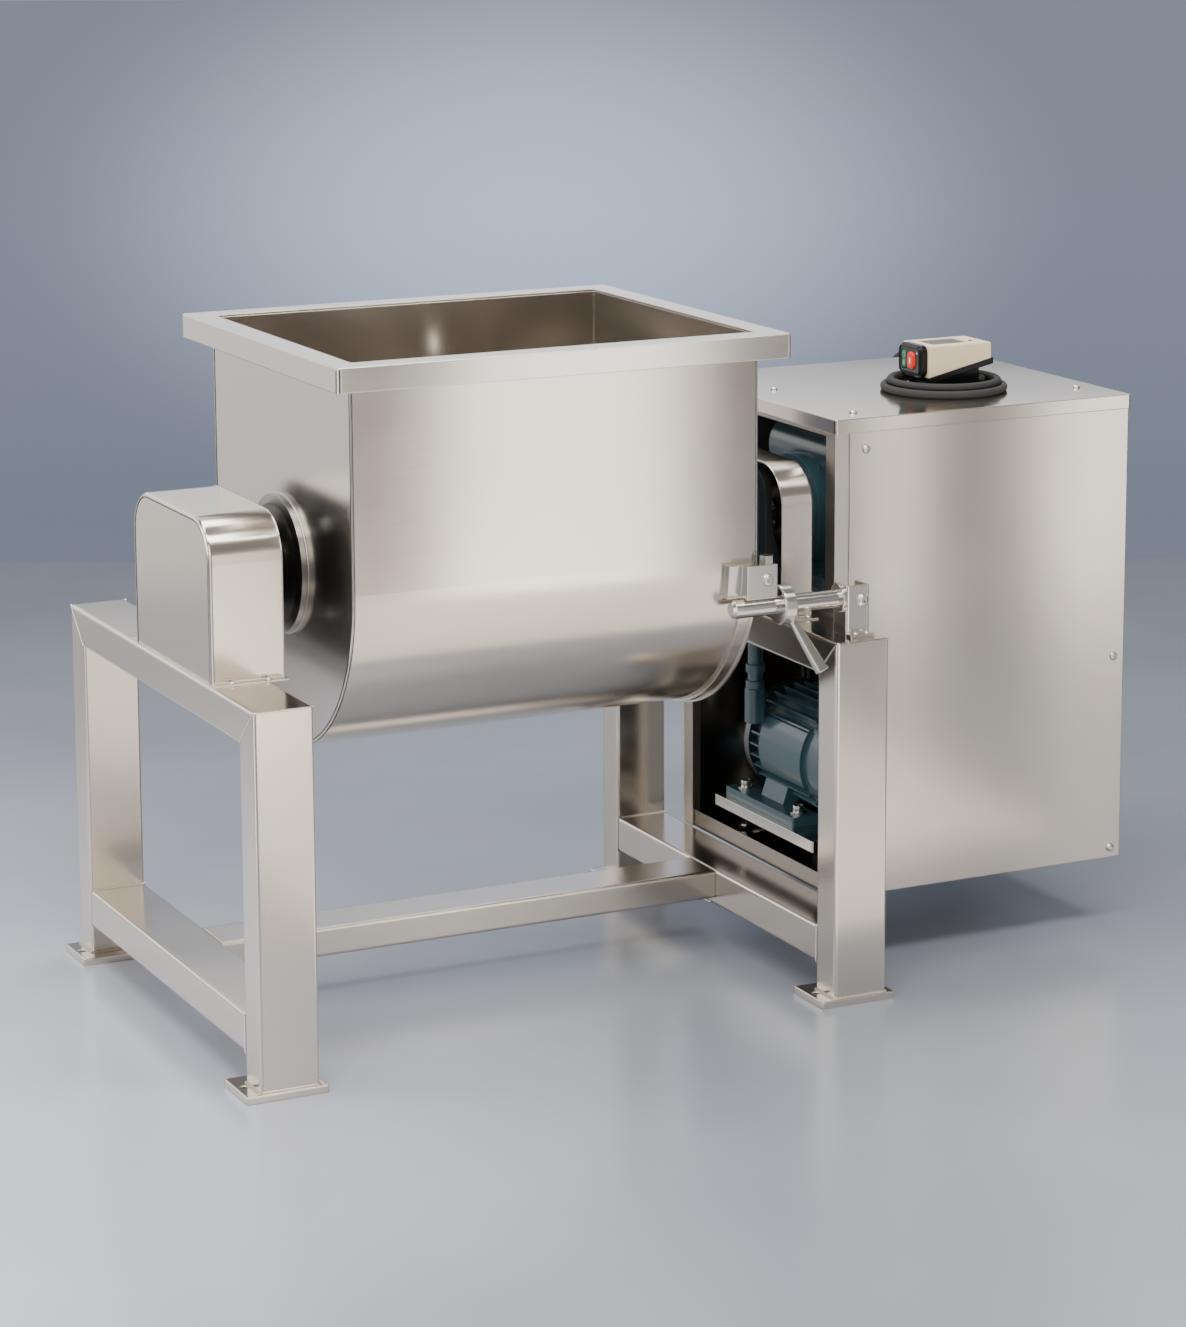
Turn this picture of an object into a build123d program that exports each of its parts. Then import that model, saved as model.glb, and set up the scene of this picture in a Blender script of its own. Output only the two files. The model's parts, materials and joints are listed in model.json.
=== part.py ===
"""Tilting-trough ribbon blender, modelled piece by piece in build123d builder mode.

Frame: X runs along the trough and the drive cabinet, Y runs from the operator side (-Y)
to the back, Z is up. The origin is on the floor, in the middle of the footprint.
All lengths are in millimetres.
"""
import os
from math import acos, cos, pi, radians, sin, tan

from build123d import *

os.makedirs("parts", exist_ok=True)

# Shared values
overrun = 2.0
shaft_clearance = 0.05
body_gap = 0.3
quarter_turn = 90.0
half_turn = 180.0
full_turn = 360.0

# Portals: two mitred frames of rectangular tube
tube_width = 80.0
tube_depth = 50.0
tube_wall = 3.0
tube_corner = 4.0
portal_height = 500.0
portal_depth = 700.0
portal_pitch = 824.0
left_portal_x = -640.0
right_portal_x = left_portal_x + portal_pitch
crossbar_bottom = 50.0
crossbar_top = crossbar_bottom + tube_depth
stretcher_height = 40.0
stretcher_y = 30.0

# Foot plates
foot_length = 110.0
foot_depth = 80.0
foot_thickness = 10.0
foot_outer_reach = 20.0
foot_front_reach = 5.0
anchor_hole = 11.0
anchor_inset = 11.5
anchor_from_front = 40.0

# Trough
axis_y = -50.0
axis_rise = 118.0
axis_z = portal_height + axis_rise
trough_centre_x = -232.0
trough_length = 576.0
trough_radius = 240.0
wrapper_sheet = 2.0
end_sheet = 3.0
rim_rise = 57.0
rim_top = axis_z + trough_radius + rim_rise
rim_length = 640.0
rim_width = 552.0
rim_sheet = 3.0
rim_skirt = 32.0
rim_corner = 6.0

# Trunnions and their bearings
trunnion_flange_radius = 92.0
trunnion_flange_thickness = 12.0
trunnion_dish_depth = 3.0
trunnion_radius = 35.0
trunnion_bore_radius = 27.5
journal_overhang = 8.0
seal_radius = 34.0
seal_thickness = 5.0
bush_radius = 40.0
bearing_gap = 4.0
bearing_flange_size = 148.0
bearing_flange_thickness = 16.0
bearing_flange_corner = 34.0
bearing_bolt_pitch = 112.0
bearing_boss_radius = 58.0
bearing_boss_chamfer = 5.0
right_housing_length = 46.0
bearing_plate = 10.0
bearing_plate_width = 184.0
bearing_plate_top = 84.0
bearing_plate_corner = 40.0
bearing_foot = 10.0
bearing_foot_setback = 3.0
bearing_hole_clearance = 4.0
gusset_sheet = 8.0
gusset_height = 120.0
bolt_shank_radius = 6.0
bolt_across = 19.0
bolt_head = 8.0
bolt_nut = 10.0
bolt_clearance = 0.2

# Bearing covers
cover_depth = 284.0
cover_height = 210.0
cover_sheet = 2.0
cover_corner = 56.0
cover_rim = 4.0
cover_centre_y = axis_y
left_cover_outer_x = -674.0
left_cover_open_x = -576.0
right_cover_open_x = 148.0
right_cover_outer_x = 197.0
cover_flange = 16.0

# Agitator
shaft_radius = 22.5
shaft_overhang = 6.0
shaft_chamfer = 2.0
outer_ribbon_radius = 228.0
outer_ribbon_width = 42.0
inner_ribbon_radius = 128.0
inner_ribbon_width = 32.0
ribbon_tangential = 18.0
ribbon_end_clearance = 10.0
spoke_radius = 9.0
spoke_stations = 5

# Stop, latch and quadrant rail
latch_radius = 12.5
latch_y = -302.0
latch_rise = 50.0
latch_z = portal_height + latch_rise
latch_left_x = 10.0
latch_right_x = 214.0
latch_chamfer = 4.0
stop_left_x = 29.0
stop_right_x = 74.0
stop_height = 45.0
stop_reach = 24.0
stop_front_chamfer = 2.0
gusset_width = 20.0
rail_width = 20.0
rail_leg = 4.0
rail_lip = 6.6
rail_start_angle = -166.0
rail_end_angle = -96.0
ring_radius = 27.0
ring_width = 19.0
ring_x = 79.0
ring_chamfer = 2.0
lever_root_width = 10.0
lever_tip_width = 17.0
lever_root_thickness = 9.0
lever_tip_thickness = 12.0
lever_corner = 3.0
lever_out = 37.0
lever_forward = 43.0
lever_drop = 86.0
bracket_left_x = 176.0
bracket_width = 36.0
bracket_depth = 34.0
bracket_sheet = 4.0
bracket_top = 18.0
bracket_flange = 13.0
collar_radius = 19.0
collar_width = 5.0

# Cabinet
cabinet_right_x = 697.0
cabinet_front_y = -205.0
cabinet_back_y = 240.0
cabinet_bottom = crossbar_top
lid_top = 772.0
lid_sheet = 2.0
lid_skirt = 20.0
lid_overhang = 3.0
lid_corner = 4.0
post_size = 25.0
post_sheet = 3.0
panel_sheet = 2.0
panel_reveal = 22.0
floor_sheet = 4.0
slot_width = 14.0
shelf_sheet = 6.0
shelf_front_gap = 20.0
shelf_back_margin = 40.0
slot_length = 60.0

# Drive: reducer, motor and belts
gear_centre = 80.0
gear_x = 300.0
gear_width = 116.0
gear_body_radius = 82.0
gear_hub_radius = 46.0
gear_hub_length = 12.0
worm_body_radius = 42.0
worm_body_length = 190.0
gear_foot_length = 176.0
gear_foot_thickness = 14.0
gear_web_share = 0.62
gear_cover_radius = 72.0
gear_cover_thickness = 5.0
gear_cover_bolts = 6
gear_bolt_across = 10.0
gear_bolt_head = 4.0
input_shaft_radius = 12.0
motor_axis_height = 90.0
motor_x = 328.0
motor_foot_y = 31.0
motor_foot_pitch_x = 140.0
motor_foot_pitch_y = 155.0
motor_pad_width = 44.0
motor_pad_length = 200.0
motor_pad_thickness = 14.0
motor_web_length = 64.0
motor_web_rise = 40.0
motor_core_radius = 70.0
fin_height = 12.0
fin_thickness = 3.0
fin_count = 30
stator_length = 147.0
side_panel_low = 34.0
side_panel_high = 45.0
side_panel_length = 120.0
stator_front_y = -70.0
ring_flange_radius = 84.0
ring_flange_length = 15.0
shield_length = 20.0
cowl_radius = 79.0
cowl_length = 76.0
cowl_sheet = 2.0
rotor_shaft_radius = 12.0
rotor_shaft_length = 50.0
motor_plate_thickness = 16.0
motor_plate_length = 290.0
motor_plate_left_x = 225.0
motor_plate_width = 207.0
motor_plate_bottom = 150.0
motor_plate_corner = 3.0
stud_radius = 6.0
stud_inset = 20.0
stud_side_inset = 41.0
nut_across = 18.0
nut_height = 10.0
washer_radius = 12.0
washer_thickness = 2.0
stud_end = 4.0
motor_pulley_radius = 41.0
gear_pulley_radius = 62.0
pulley_width = 38.0
pulley_y = 117.0
groove_pitch = 16.0
groove_top = 12.0
groove_bottom = 9.0
groove_depth = 11.0
belt_width = 8.0
belt_height = 9.0
belt_proud = 1.5

conduit_x = 247.0
conduit_y = 62.0
conduit_radius = 11.0
conduit_collar_radius = 14.0
conduit_collar_length = 12.0
terminal_box_width = 28.0
terminal_box_corner = 10.0
terminal_box_bottom = 290.0
terminal_box_top = 340.0
fan_radius = 62.0
fan_length = 22.0
fan_hub_radius = 20.0
fan_blade_count = 7
fan_blade_thickness = 4.0
cowl_gap = 8.0
cowl_grille_radius = 64.0
cowl_slot_width = 6.0
cowl_slot_pitch = 14.0

# Pendant switch and its cord
pendant_x = 488.0
pendant_y = -50.0
pendant_length = 102.0
pendant_left_reach = 46.0
pendant_width = 70.0
pendant_top = 69.0
pendant_left_bottom = 24.0
pendant_right_bottom = 46.0
pendant_wall = 3.0
pendant_corner = 5.0
recess_length = 58.0
recess_width = 42.0
recess_depth = 1.5
recess_inset = 14.0
base_lip = 4.0
base_slab = 8.0
base_block_length = 84.0
base_block_width = 52.0
button_frame_depth = 12.0
button_frame_width = 62.0
button_frame_height = 46.0
button_frame_corner = 11.0
button_frame_bevel = 4.0
button_well = 5.0
button_well_width = 52.0
button_well_height = 36.0
button_well_corner = 6.0
button_width = 18.0
button_height = 24.0
button_proud = 2.5
button_travel = 2.0
button_pitch = 24.0
button_flange_step = 2.0
button_flange_thickness = 2.0
button_stem_radius = 3.0
button_stem_length = 8.0
contact_length = 26.0
contact_height = 28.0
window_margin = 1.0
contact_bore_depth = 12.0
cord_radius = 5.5
coil_inner_radius = 70.0
coil_nest = 9.0
coil_start_angle = 30.0
coil_leave_angle = 36.0
gland_radius = 11.0
gland_length = 14.0
gland_nut = 5.0
gland_drop = 102.0
cord_bend_share = 0.45
cord_gland_inset = 85.0
cord_gland_x = cabinet_right_x - cord_gland_inset
cord_first_run = 82.0
cord_way = (
    (-37.0, -101.0, 128.5),
    (-6.0, -27.0, 141.0),
    (0.0, 51.0, 133.0),
    (1.0, 93.0, 96.0),
    (0.0, 95.0, 40.0),
    (0.0, 56.0, 0.0),
    (0.0, 0.0, 0.0),
)

# Fasteners
screw_shank_radius = 2.5
hex_across = 17.0
hex_height = 11.0

# Places that follow from the sizes above
left_inner_x = left_portal_x + tube_width / 2
right_inner_x = right_portal_x - tube_width / 2
cabinet_left_x = right_portal_x + tube_width / 2
trough_left_x = trough_centre_x - trough_length / 2
trough_right_x = trough_centre_x + trough_length / 2
trough_inner_radius = trough_radius - wrapper_sheet
wall_top = rim_top - rim_sheet
wall_rise = wall_top - axis_z
front_face_y = axis_y - trough_radius
shaft_line = Axis((0, axis_y, axis_z), (1, 0, 0))


def across_plane(x):
    """Plane facing +X at x, centred on the trough axis, with its own x along +Y and y up."""
    return Plane(origin=(x, axis_y, axis_z), x_dir=(0, 1, 0), z_dir=(1, 0, 0))


def along_plane(angle=quarter_turn):
    """Plane that holds the trough axis; its own x is along +X and its y points at the angle."""
    normal = (0, -sin(radians(angle)), cos(radians(angle)))
    return Plane(origin=(0, axis_y, axis_z), x_dir=(1, 0, 0), z_dir=normal)


def keep(node, name):
    """Label a finished piece and write its STEP file."""
    node.part.label = name
    export_step(node.part, "parts/" + name + ".step")


# Portals
def hollow_out(outer_width, outer_depth):
    """Cut the bore of a rectangular tube out of the sketch in hand."""
    inner_width = outer_width - 2 * tube_wall
    inner_depth = outer_depth - 2 * tube_wall
    RectangleRounded(inner_width, inner_depth, tube_corner - tube_wall, mode=Mode.SUBTRACT)


def mitre_wedge():
    """Draw, on a YZ plane, the side view of a top bar between its two mitred ends."""
    half = portal_depth / 2
    Polygon(
        (-half, portal_height),
        (-half + tube_depth, portal_height - tube_depth),
        (half - tube_depth, portal_height - tube_depth),
        (half, portal_height),
        align=None,
    )


portal_xs = (left_portal_x, right_portal_x)
leg_spots = [(x, s * (portal_depth - tube_depth) / 2) for x in portal_xs for s in (-1, 1)]
with BuildPart() as portal_legs:
    with BuildSketch(Plane.XY.offset(foot_thickness)):
        with Locations(*leg_spots):
            RectangleRounded(tube_width, tube_depth, tube_corner)
            hollow_out(tube_width, tube_depth)
    extrude(amount=portal_height - foot_thickness)
    with BuildSketch(Plane.YZ.offset(left_portal_x - tube_width / 2)):
        mitre_wedge()
    extrude(amount=portal_pitch + tube_width, mode=Mode.SUBTRACT)
keep(portal_legs, "portal_legs")

with BuildPart() as portal_top_bars:
    with BuildSketch(Plane.XZ.offset(-portal_depth / 2)):
        with Locations(*[(x, portal_height - tube_depth / 2) for x in portal_xs]):
            RectangleRounded(tube_width, tube_depth, tube_corner)
            hollow_out(tube_width, tube_depth)
    extrude(amount=portal_depth)
    with BuildSketch(Plane.YZ.offset(left_portal_x - tube_width / 2)):
        mitre_wedge()
    extrude(amount=portal_pitch + tube_width, mode=Mode.INTERSECT)
keep(portal_top_bars, "portal_top_bars")

with BuildPart() as portal_crossbars:
    with BuildSketch(Plane.XZ.offset(-(portal_depth / 2 - tube_depth))):
        with Locations(*[(x, crossbar_bottom + tube_depth / 2) for x in portal_xs]):
            RectangleRounded(tube_width, tube_depth, tube_corner)
            hollow_out(tube_width, tube_depth)
    extrude(amount=portal_depth - 2 * tube_depth)
keep(portal_crossbars, "portal_crossbars")

with BuildPart() as stretcher:
    with BuildSketch(Plane.YZ.offset(left_inner_x)):
        with Locations((stretcher_y, crossbar_top - stretcher_height / 2)):
            RectangleRounded(tube_width, stretcher_height, tube_corner)
            hollow_out(tube_width, stretcher_height)
    extrude(amount=right_inner_x - left_inner_x)
keep(stretcher, "stretcher")

foot_centre_shift = foot_length / 2 - tube_width / 2 - foot_outer_reach
foot_centre_y = portal_depth / 2 + foot_front_reach - foot_depth / 2
anchor_shift = -tube_width / 2 - foot_outer_reach + anchor_inset
anchor_y = portal_depth / 2 + foot_front_reach - anchor_from_front
portal_corners = [(x, s) for x in portal_xs for s in (-1, 1)]
with BuildPart() as foot_plates:
    with BuildSketch():
        with Locations(*[(x + foot_centre_shift, s * foot_centre_y) for x, s in portal_corners]):
            Rectangle(foot_length, foot_depth)
        with Locations(*[(x + anchor_shift, s * anchor_y) for x, s in portal_corners]):
            Circle(anchor_hole / 2, mode=Mode.SUBTRACT)
    extrude(amount=foot_thickness)
keep(foot_plates, "foot_plates")


# Trough
def u_outline(radius, rise):
    """Draw a filled U: a full circle with straight sides up to the given rise."""
    Circle(radius)
    Rectangle(2 * radius, rise, align=(Align.CENTER, Align.MIN))


with BuildPart() as trough_wrapper:
    with BuildSketch(across_plane(trough_left_x + end_sheet)):
        u_outline(trough_radius, wall_rise)
        Circle(trough_inner_radius, mode=Mode.SUBTRACT)
        Rectangle(
            2 * trough_inner_radius, wall_rise, align=(Align.CENTER, Align.MIN), mode=Mode.SUBTRACT
        )
    extrude(amount=trough_length - 2 * end_sheet)
keep(trough_wrapper, "trough_wrapper")


def make_end_wall(x):
    """End wall of the trough, with the hole that the trunnion's bore lines up with."""
    with BuildPart() as wall:
        with BuildSketch(across_plane(x)):
            u_outline(trough_radius, wall_rise)
            Circle(trunnion_bore_radius, mode=Mode.SUBTRACT)
        extrude(amount=end_sheet)
    return wall


keep(make_end_wall(trough_left_x), "trough_left_wall")
keep(make_end_wall(trough_right_x - end_sheet), "trough_right_wall")

with BuildPart() as trough_rim:
    with BuildSketch(Plane.XY.offset(rim_top - rim_skirt)):
        with Locations((trough_centre_x, axis_y)):
            RectangleRounded(rim_length, rim_width, rim_corner)
    extrude(amount=rim_skirt)
    with BuildSketch(Plane.XY.offset(rim_top - rim_skirt)):
        with Locations((trough_centre_x, axis_y)):
            RectangleRounded(rim_length - 2 * rim_sheet, rim_width - 2 * rim_sheet, rim_sheet)
    extrude(amount=rim_skirt - rim_sheet, mode=Mode.SUBTRACT)
    with BuildSketch(Plane.XY.offset(wall_top)):
        with Locations((trough_centre_x, axis_y)):
            Rectangle(trough_length - 2 * end_sheet, 2 * trough_inner_radius)
    extrude(amount=rim_sheet, mode=Mode.SUBTRACT)
    fillet(trough_rim.faces().sort_by(Axis.Z)[-1].outer_wire().edges(), rim_sheet / 2)
keep(trough_rim, "trough_rim")


# Trunnions: a dished flange welded to the end wall and a hollow journal in the bearing
left_journal_end = left_cover_open_x - bearing_plate - journal_overhang
right_plate_x = right_cover_open_x + cover_sheet
right_journal_end = right_plate_x + bearing_plate + journal_overhang
with BuildPart() as trunnions:
    for wall_x, journal_end, out in (
        (trough_left_x, left_journal_end, -1),
        (trough_right_x, right_journal_end, 1),
    ):
        flange_face = wall_x + out * trunnion_flange_thickness
        with BuildSketch(along_plane()):
            with BuildLine():
                Polyline(
                    (wall_x, trunnion_bore_radius),
                    (wall_x, trunnion_flange_radius),
                    (flange_face - out * trunnion_dish_depth, trunnion_flange_radius),
                    (flange_face, trunnion_flange_radius - trunnion_flange_thickness),
                    (flange_face, trunnion_radius),
                    (journal_end, trunnion_radius),
                    (journal_end, trunnion_bore_radius),
                    close=True,
                )
            make_face()
        revolve(axis=shaft_line)
keep(trunnions, "trunnions")

with BuildPart() as shaft_bushes:
    for inner_x, journal_end, out in (
        (trough_left_x + end_sheet, left_journal_end, -1),
        (trough_right_x - end_sheet, right_journal_end, 1),
    ):
        with BuildSketch(along_plane()):
            with BuildLine():
                Polyline(
                    (inner_x - out * seal_thickness, shaft_radius + shaft_clearance),
                    (inner_x - out * seal_thickness, seal_radius),
                    (inner_x, seal_radius),
                    (inner_x, trunnion_bore_radius),
                    (journal_end, trunnion_bore_radius),
                    (journal_end, shaft_radius + shaft_clearance),
                    close=True,
                )
            make_face()
        revolve(axis=shaft_line)
keep(shaft_bushes, "shaft_bushes")


# Bearings: flanged housings on bent plates that stand on the portals' top bars
def make_housing(plate_x, length, out):
    """Flanged bearing housing on a plate face; out points from the plate to the trough."""
    with BuildPart() as housing:
        with BuildSketch(across_plane(plate_x)):
            RectangleRounded(bearing_flange_size, bearing_flange_size, bearing_flange_corner)
            with GridLocations(bearing_bolt_pitch, bearing_bolt_pitch, 2, 2):
                Circle(bolt_shank_radius + bolt_clearance, mode=Mode.SUBTRACT)
        extrude(amount=out * bearing_flange_thickness)
        with BuildSketch(across_plane(plate_x)):
            Circle(bearing_boss_radius)
        extrude(amount=out * length)
        chamfer(
            housing.faces().sort_by(Axis.X)[-1 if out > 0 else 0].outer_wire().edges(),
            bearing_boss_chamfer,
        )
        with BuildSketch(across_plane(plate_x)):
            Circle(bush_radius)
        extrude(amount=out * length, mode=Mode.SUBTRACT)
    return housing


left_housing_length = trough_left_x - trunnion_flange_thickness - bearing_gap - left_cover_open_x
keep(make_housing(left_cover_open_x, left_housing_length, 1), "left_bearing_housing")
keep(make_housing(right_plate_x, right_housing_length, -1), "right_bearing_housing")

with BuildPart() as trunnion_bushes:
    for plate_x, length in (
        (left_cover_open_x, left_housing_length),
        (right_plate_x - right_housing_length, right_housing_length),
    ):
        with BuildSketch(across_plane(plate_x)):
            Circle(bush_radius)
            Circle(trunnion_radius + shaft_clearance, mode=Mode.SUBTRACT)
        extrude(amount=length)
keep(trunnion_bushes, "trunnion_bushes")


plate_bottom = portal_height - axis_z
left_foot_end = left_cover_outer_x + cover_sheet + bearing_foot_setback
right_foot_end = right_cover_outer_x - cover_sheet - bearing_foot_setback
with BuildPart() as bearing_brackets:
    for plate_x, foot_end, out in (
        (left_cover_open_x, left_foot_end, -1),
        (right_plate_x, right_foot_end, 1),
    ):
        with BuildSketch(across_plane(plate_x)) as upright:
            with Locations((0, (bearing_plate_top + plate_bottom) / 2)):
                Rectangle(bearing_plate_width, bearing_plate_top - plate_bottom)
            fillet(upright.vertices().group_by(Axis.Z)[-1], bearing_plate_corner)
            Circle(trunnion_radius + bearing_hole_clearance, mode=Mode.SUBTRACT)
            with GridLocations(bearing_bolt_pitch, bearing_bolt_pitch, 2, 2):
                Circle(bolt_shank_radius + bolt_clearance, mode=Mode.SUBTRACT)
        extrude(amount=out * bearing_plate)
        with BuildSketch(Plane.XY.offset(portal_height)):
            with Locations(((plate_x + foot_end) / 2, axis_y)):
                Rectangle(abs(foot_end - plate_x), bearing_plate_width)
        extrude(amount=bearing_foot)
        for side in (-1, 1):
            gusset_y = axis_y + side * (bearing_plate_width - gusset_sheet) / 2
            with BuildSketch(Plane.XZ.offset(-gusset_y)):
                with BuildLine():
                    Polyline(
                        (plate_x + out * bearing_plate, portal_height + bearing_foot),
                        (foot_end, portal_height + bearing_foot),
                        (plate_x + out * bearing_plate, portal_height + gusset_height),
                        close=True,
                    )
                make_face()
            extrude(amount=gusset_sheet / 2, both=True)
keep(bearing_brackets, "bearing_brackets")


# Covers: bent sheet with rounded shoulders and screwed flanges
def cover_outline(inset):
    """Draw the side view of a cover, drawn in by inset, with its foot on the plane's origin."""
    width = cover_depth - 2 * inset
    height = cover_height - inset
    with Locations((0, height / 2)):
        RectangleRounded(width, height, cover_corner - inset)
    with Locations((0, height / 4)):
        Rectangle(width, height / 2)


def cover_plane(x):
    """Plane facing +X at x, with its origin on the top bar under the cover's middle."""
    return Plane(origin=(x, cover_centre_y, portal_height), x_dir=(0, 1, 0), z_dir=(1, 0, 0))


def make_cover(open_x, outer_x, shaft_hole):
    """Sheet cover, open below and at open_x, closed at outer_x."""
    out = 1 if outer_x > open_x else -1
    width = abs(outer_x - open_x)
    flange_x = (open_x + outer_x) / 2
    with BuildPart() as cover:
        with BuildSketch(cover_plane(open_x)):
            cover_outline(0)
        extrude(amount=out * width)
        far_face = cover.faces().sort_by(Axis.X)[-1 if out > 0 else 0]
        foot_edges = far_face.edges().filter_by_position(Axis.Z, portal_height, portal_height)
        fillet(far_face.edges() - foot_edges, cover_rim)
        with BuildSketch(cover_plane(open_x)):
            cover_outline(cover_sheet)
        extrude(amount=out * (width - cover_sheet), mode=Mode.SUBTRACT)
        if shaft_hole:
            with BuildSketch(across_plane(open_x)):
                Circle(trunnion_radius + bearing_hole_clearance)
            extrude(amount=out * width, mode=Mode.SUBTRACT)
        with BuildSketch(Plane.XY.offset(portal_height)):
            for side in (-1, 1):
                flange_y = cover_centre_y + side * (cover_depth + cover_flange) / 2
                with Locations((flange_x, flange_y)):
                    Rectangle(width, cover_flange)
                with Locations((flange_x, flange_y)):
                    with GridLocations(width / 2, 0, 2, 1):
                        Circle(screw_shank_radius + bolt_clearance, mode=Mode.SUBTRACT)
        extrude(amount=cover_sheet)
    return cover


keep(make_cover(left_cover_open_x, left_cover_outer_x, False), "left_cover")
keep(make_cover(right_cover_open_x, right_cover_outer_x, True), "right_cover")

# Agitator: shaft, an outer and an inner double ribbon of opposite hand, with their spokes
left_shaft_end = left_journal_end - shaft_overhang
right_shaft_end = gear_x + gear_width / 2 + gear_hub_length + shaft_overhang
with BuildPart() as agitator_shaft:
    with BuildSketch(across_plane(left_shaft_end)):
        Circle(shaft_radius)
    extrude(amount=right_shaft_end - left_shaft_end)
    chamfer(agitator_shaft.edges().filter_by(GeomType.CIRCLE), shaft_chamfer)
keep(agitator_shaft, "agitator_shaft")

ribbon_start_x = trough_left_x + end_sheet + ribbon_end_clearance
ribbon_length = trough_length - 2 * end_sheet - 2 * ribbon_end_clearance


def ribbon_solid(outer_radius, width, start_angle, twist):
    """One helical ribbon: a radial strip pushed along the shaft while it turns."""
    reach = outer_radius - width / 2
    with BuildSketch(across_plane(ribbon_start_x), mode=Mode.PRIVATE) as section:
        with PolarLocations(reach, 1, start_angle=start_angle):
            Rectangle(width, ribbon_tangential)
    start = Vector(ribbon_start_x, axis_y, axis_z)
    return Solid.extrude_linear_with_rotation(
        section.sketch.faces()[0], start, Vector(ribbon_length, 0, 0), twist
    )


def make_ribbons(outer_radius, width, start_angle, twist):
    """Double ribbon with the spokes that weld it to the shaft at every station."""
    spoke_span = ribbon_length - 2 * spoke_radius
    with BuildPart() as ribbons:
        for start in (0, half_turn):
            add(ribbon_solid(outer_radius, width, start_angle + start, twist))
        for station in range(spoke_stations):
            offset = spoke_radius + spoke_span * station / (spoke_stations - 1)
            angle = start_angle + twist * offset / ribbon_length
            station_plane = across_plane(ribbon_start_x + offset)
            with Locations(station_plane * Rotation(0, 0, angle)):
                Cylinder(spoke_radius, 2 * (outer_radius - width / 2), rotation=(0, quarter_turn, 0))
        with BuildSketch(across_plane(ribbon_start_x)):
            Circle(shaft_radius)
        extrude(amount=ribbon_length, mode=Mode.SUBTRACT)
    return ribbons


keep(make_ribbons(outer_ribbon_radius, outer_ribbon_width, 0, full_turn), "outer_ribbon")
keep(make_ribbons(inner_ribbon_radius, inner_ribbon_width, quarter_turn, -full_turn), "inner_ribbon")

# Tilt stop: a block on the trough rests on the latch bar
stop_bottom = latch_z + latch_radius + body_gap
stop_width = stop_right_x - stop_left_x
with BuildPart() as stop_block:
    with BuildSketch(Plane.XY.offset(stop_bottom)):
        with Locations(((stop_left_x + stop_right_x) / 2, front_face_y)):
            Rectangle(stop_width, 2 * stop_reach)
    extrude(amount=stop_height)
    with BuildSketch(Plane.YZ.offset(stop_left_x - gusset_width)):
        with BuildLine():
            Polyline(
                (front_face_y - stop_reach / 2, stop_bottom + stop_height),
                (front_face_y + stop_reach, stop_bottom + stop_height),
                (front_face_y + stop_reach, stop_bottom),
                (front_face_y - stop_reach / 4, stop_bottom),
                close=True,
            )
        make_face()
    extrude(amount=gusset_width)
    with BuildSketch(across_plane(stop_left_x - gusset_width)):
        Circle(trough_radius)
        with Locations((0, stop_height / 2)):
            Rectangle(2 * trough_radius, stop_height + overrun)
    extrude(amount=stop_width + gusset_width, mode=Mode.SUBTRACT)
keep(stop_block, "stop_block")

with BuildPart() as stop_bolt:
    bolt_spot = (stop_right_x - hex_across / 2 - stop_front_chamfer, front_face_y - stop_reach / 2)
    with BuildSketch(Plane.XY.offset(stop_bottom + stop_height)):
        with Locations(bolt_spot):
            RegularPolygon(hex_across / 2, 6, major_radius=False)
    extrude(amount=hex_height)
keep(stop_bolt, "stop_bolt")

# Quadrant rail: a curved angle on the lower right end of the trough
with BuildPart() as quadrant_rail:
    with BuildSketch(along_plane(rail_start_angle)):
        with BuildLine():
            Polyline(
                (trough_right_x - rail_width, trough_radius),
                (trough_right_x, trough_radius),
                (trough_right_x, trough_radius + rail_lip),
                (trough_right_x - rail_leg, trough_radius + rail_lip),
                (trough_right_x - rail_leg, trough_radius + rail_leg),
                (trough_right_x - rail_width, trough_radius + rail_leg),
                close=True,
            )
        make_face()
    revolve(axis=shaft_line, revolution_arc=rail_end_angle - rail_start_angle)
keep(quadrant_rail, "quadrant_rail")


# Latch: a bar in a bracket on the right portal, turned by a lever on a ring
def latch_plane(x):
    """Plane facing +X at x, centred on the latch bar."""
    return Plane(origin=(x, latch_y, latch_z), x_dir=(0, 1, 0), z_dir=(1, 0, 0))


bracket_right_x = bracket_left_x + bracket_width
bracket_front_y = latch_y - bracket_depth / 2
bracket_top_z = latch_z + bracket_top
bracket_rise = bracket_top_z - portal_height
with BuildPart() as latch_bracket:
    with BuildSketch(Plane.XY.offset(portal_height)) as bracket_plan:
        with Locations(((bracket_left_x + bracket_right_x) / 2, latch_y)):
            Rectangle(bracket_width, bracket_depth)
        fillet(bracket_plan.vertices().group_by(Axis.Y)[0], bracket_sheet)
        with Locations(((bracket_left_x + bracket_right_x) / 2, latch_y + bracket_sheet)):
            inner_width = bracket_width - 2 * bracket_sheet
            Rectangle(inner_width, bracket_depth, mode=Mode.SUBTRACT)
    extrude(amount=bracket_rise)
    with BuildSketch(Plane.XY.offset(portal_height)):
        with Locations(((bracket_left_x + bracket_right_x) / 2, bracket_front_y)):
            Rectangle(bracket_width, bracket_flange, align=(Align.CENTER, Align.MAX))
    extrude(amount=bracket_sheet)
    with BuildSketch(latch_plane(bracket_left_x)):
        Circle(collar_radius)
    extrude(amount=-collar_width)
    with BuildSketch(latch_plane(bracket_left_x - collar_width)):
        Circle(latch_radius + shaft_clearance)
    extrude(amount=bracket_width + 2 * collar_width, mode=Mode.SUBTRACT)
keep(latch_bracket, "latch_bracket")

with BuildPart() as latch_bar:
    with BuildSketch(latch_plane(latch_left_x)):
        Circle(latch_radius)
    extrude(amount=latch_right_x - latch_left_x)
    chamfer(latch_bar.edges().filter_by(GeomType.CIRCLE), latch_chamfer)
keep(latch_bar, "latch_bar")

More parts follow.
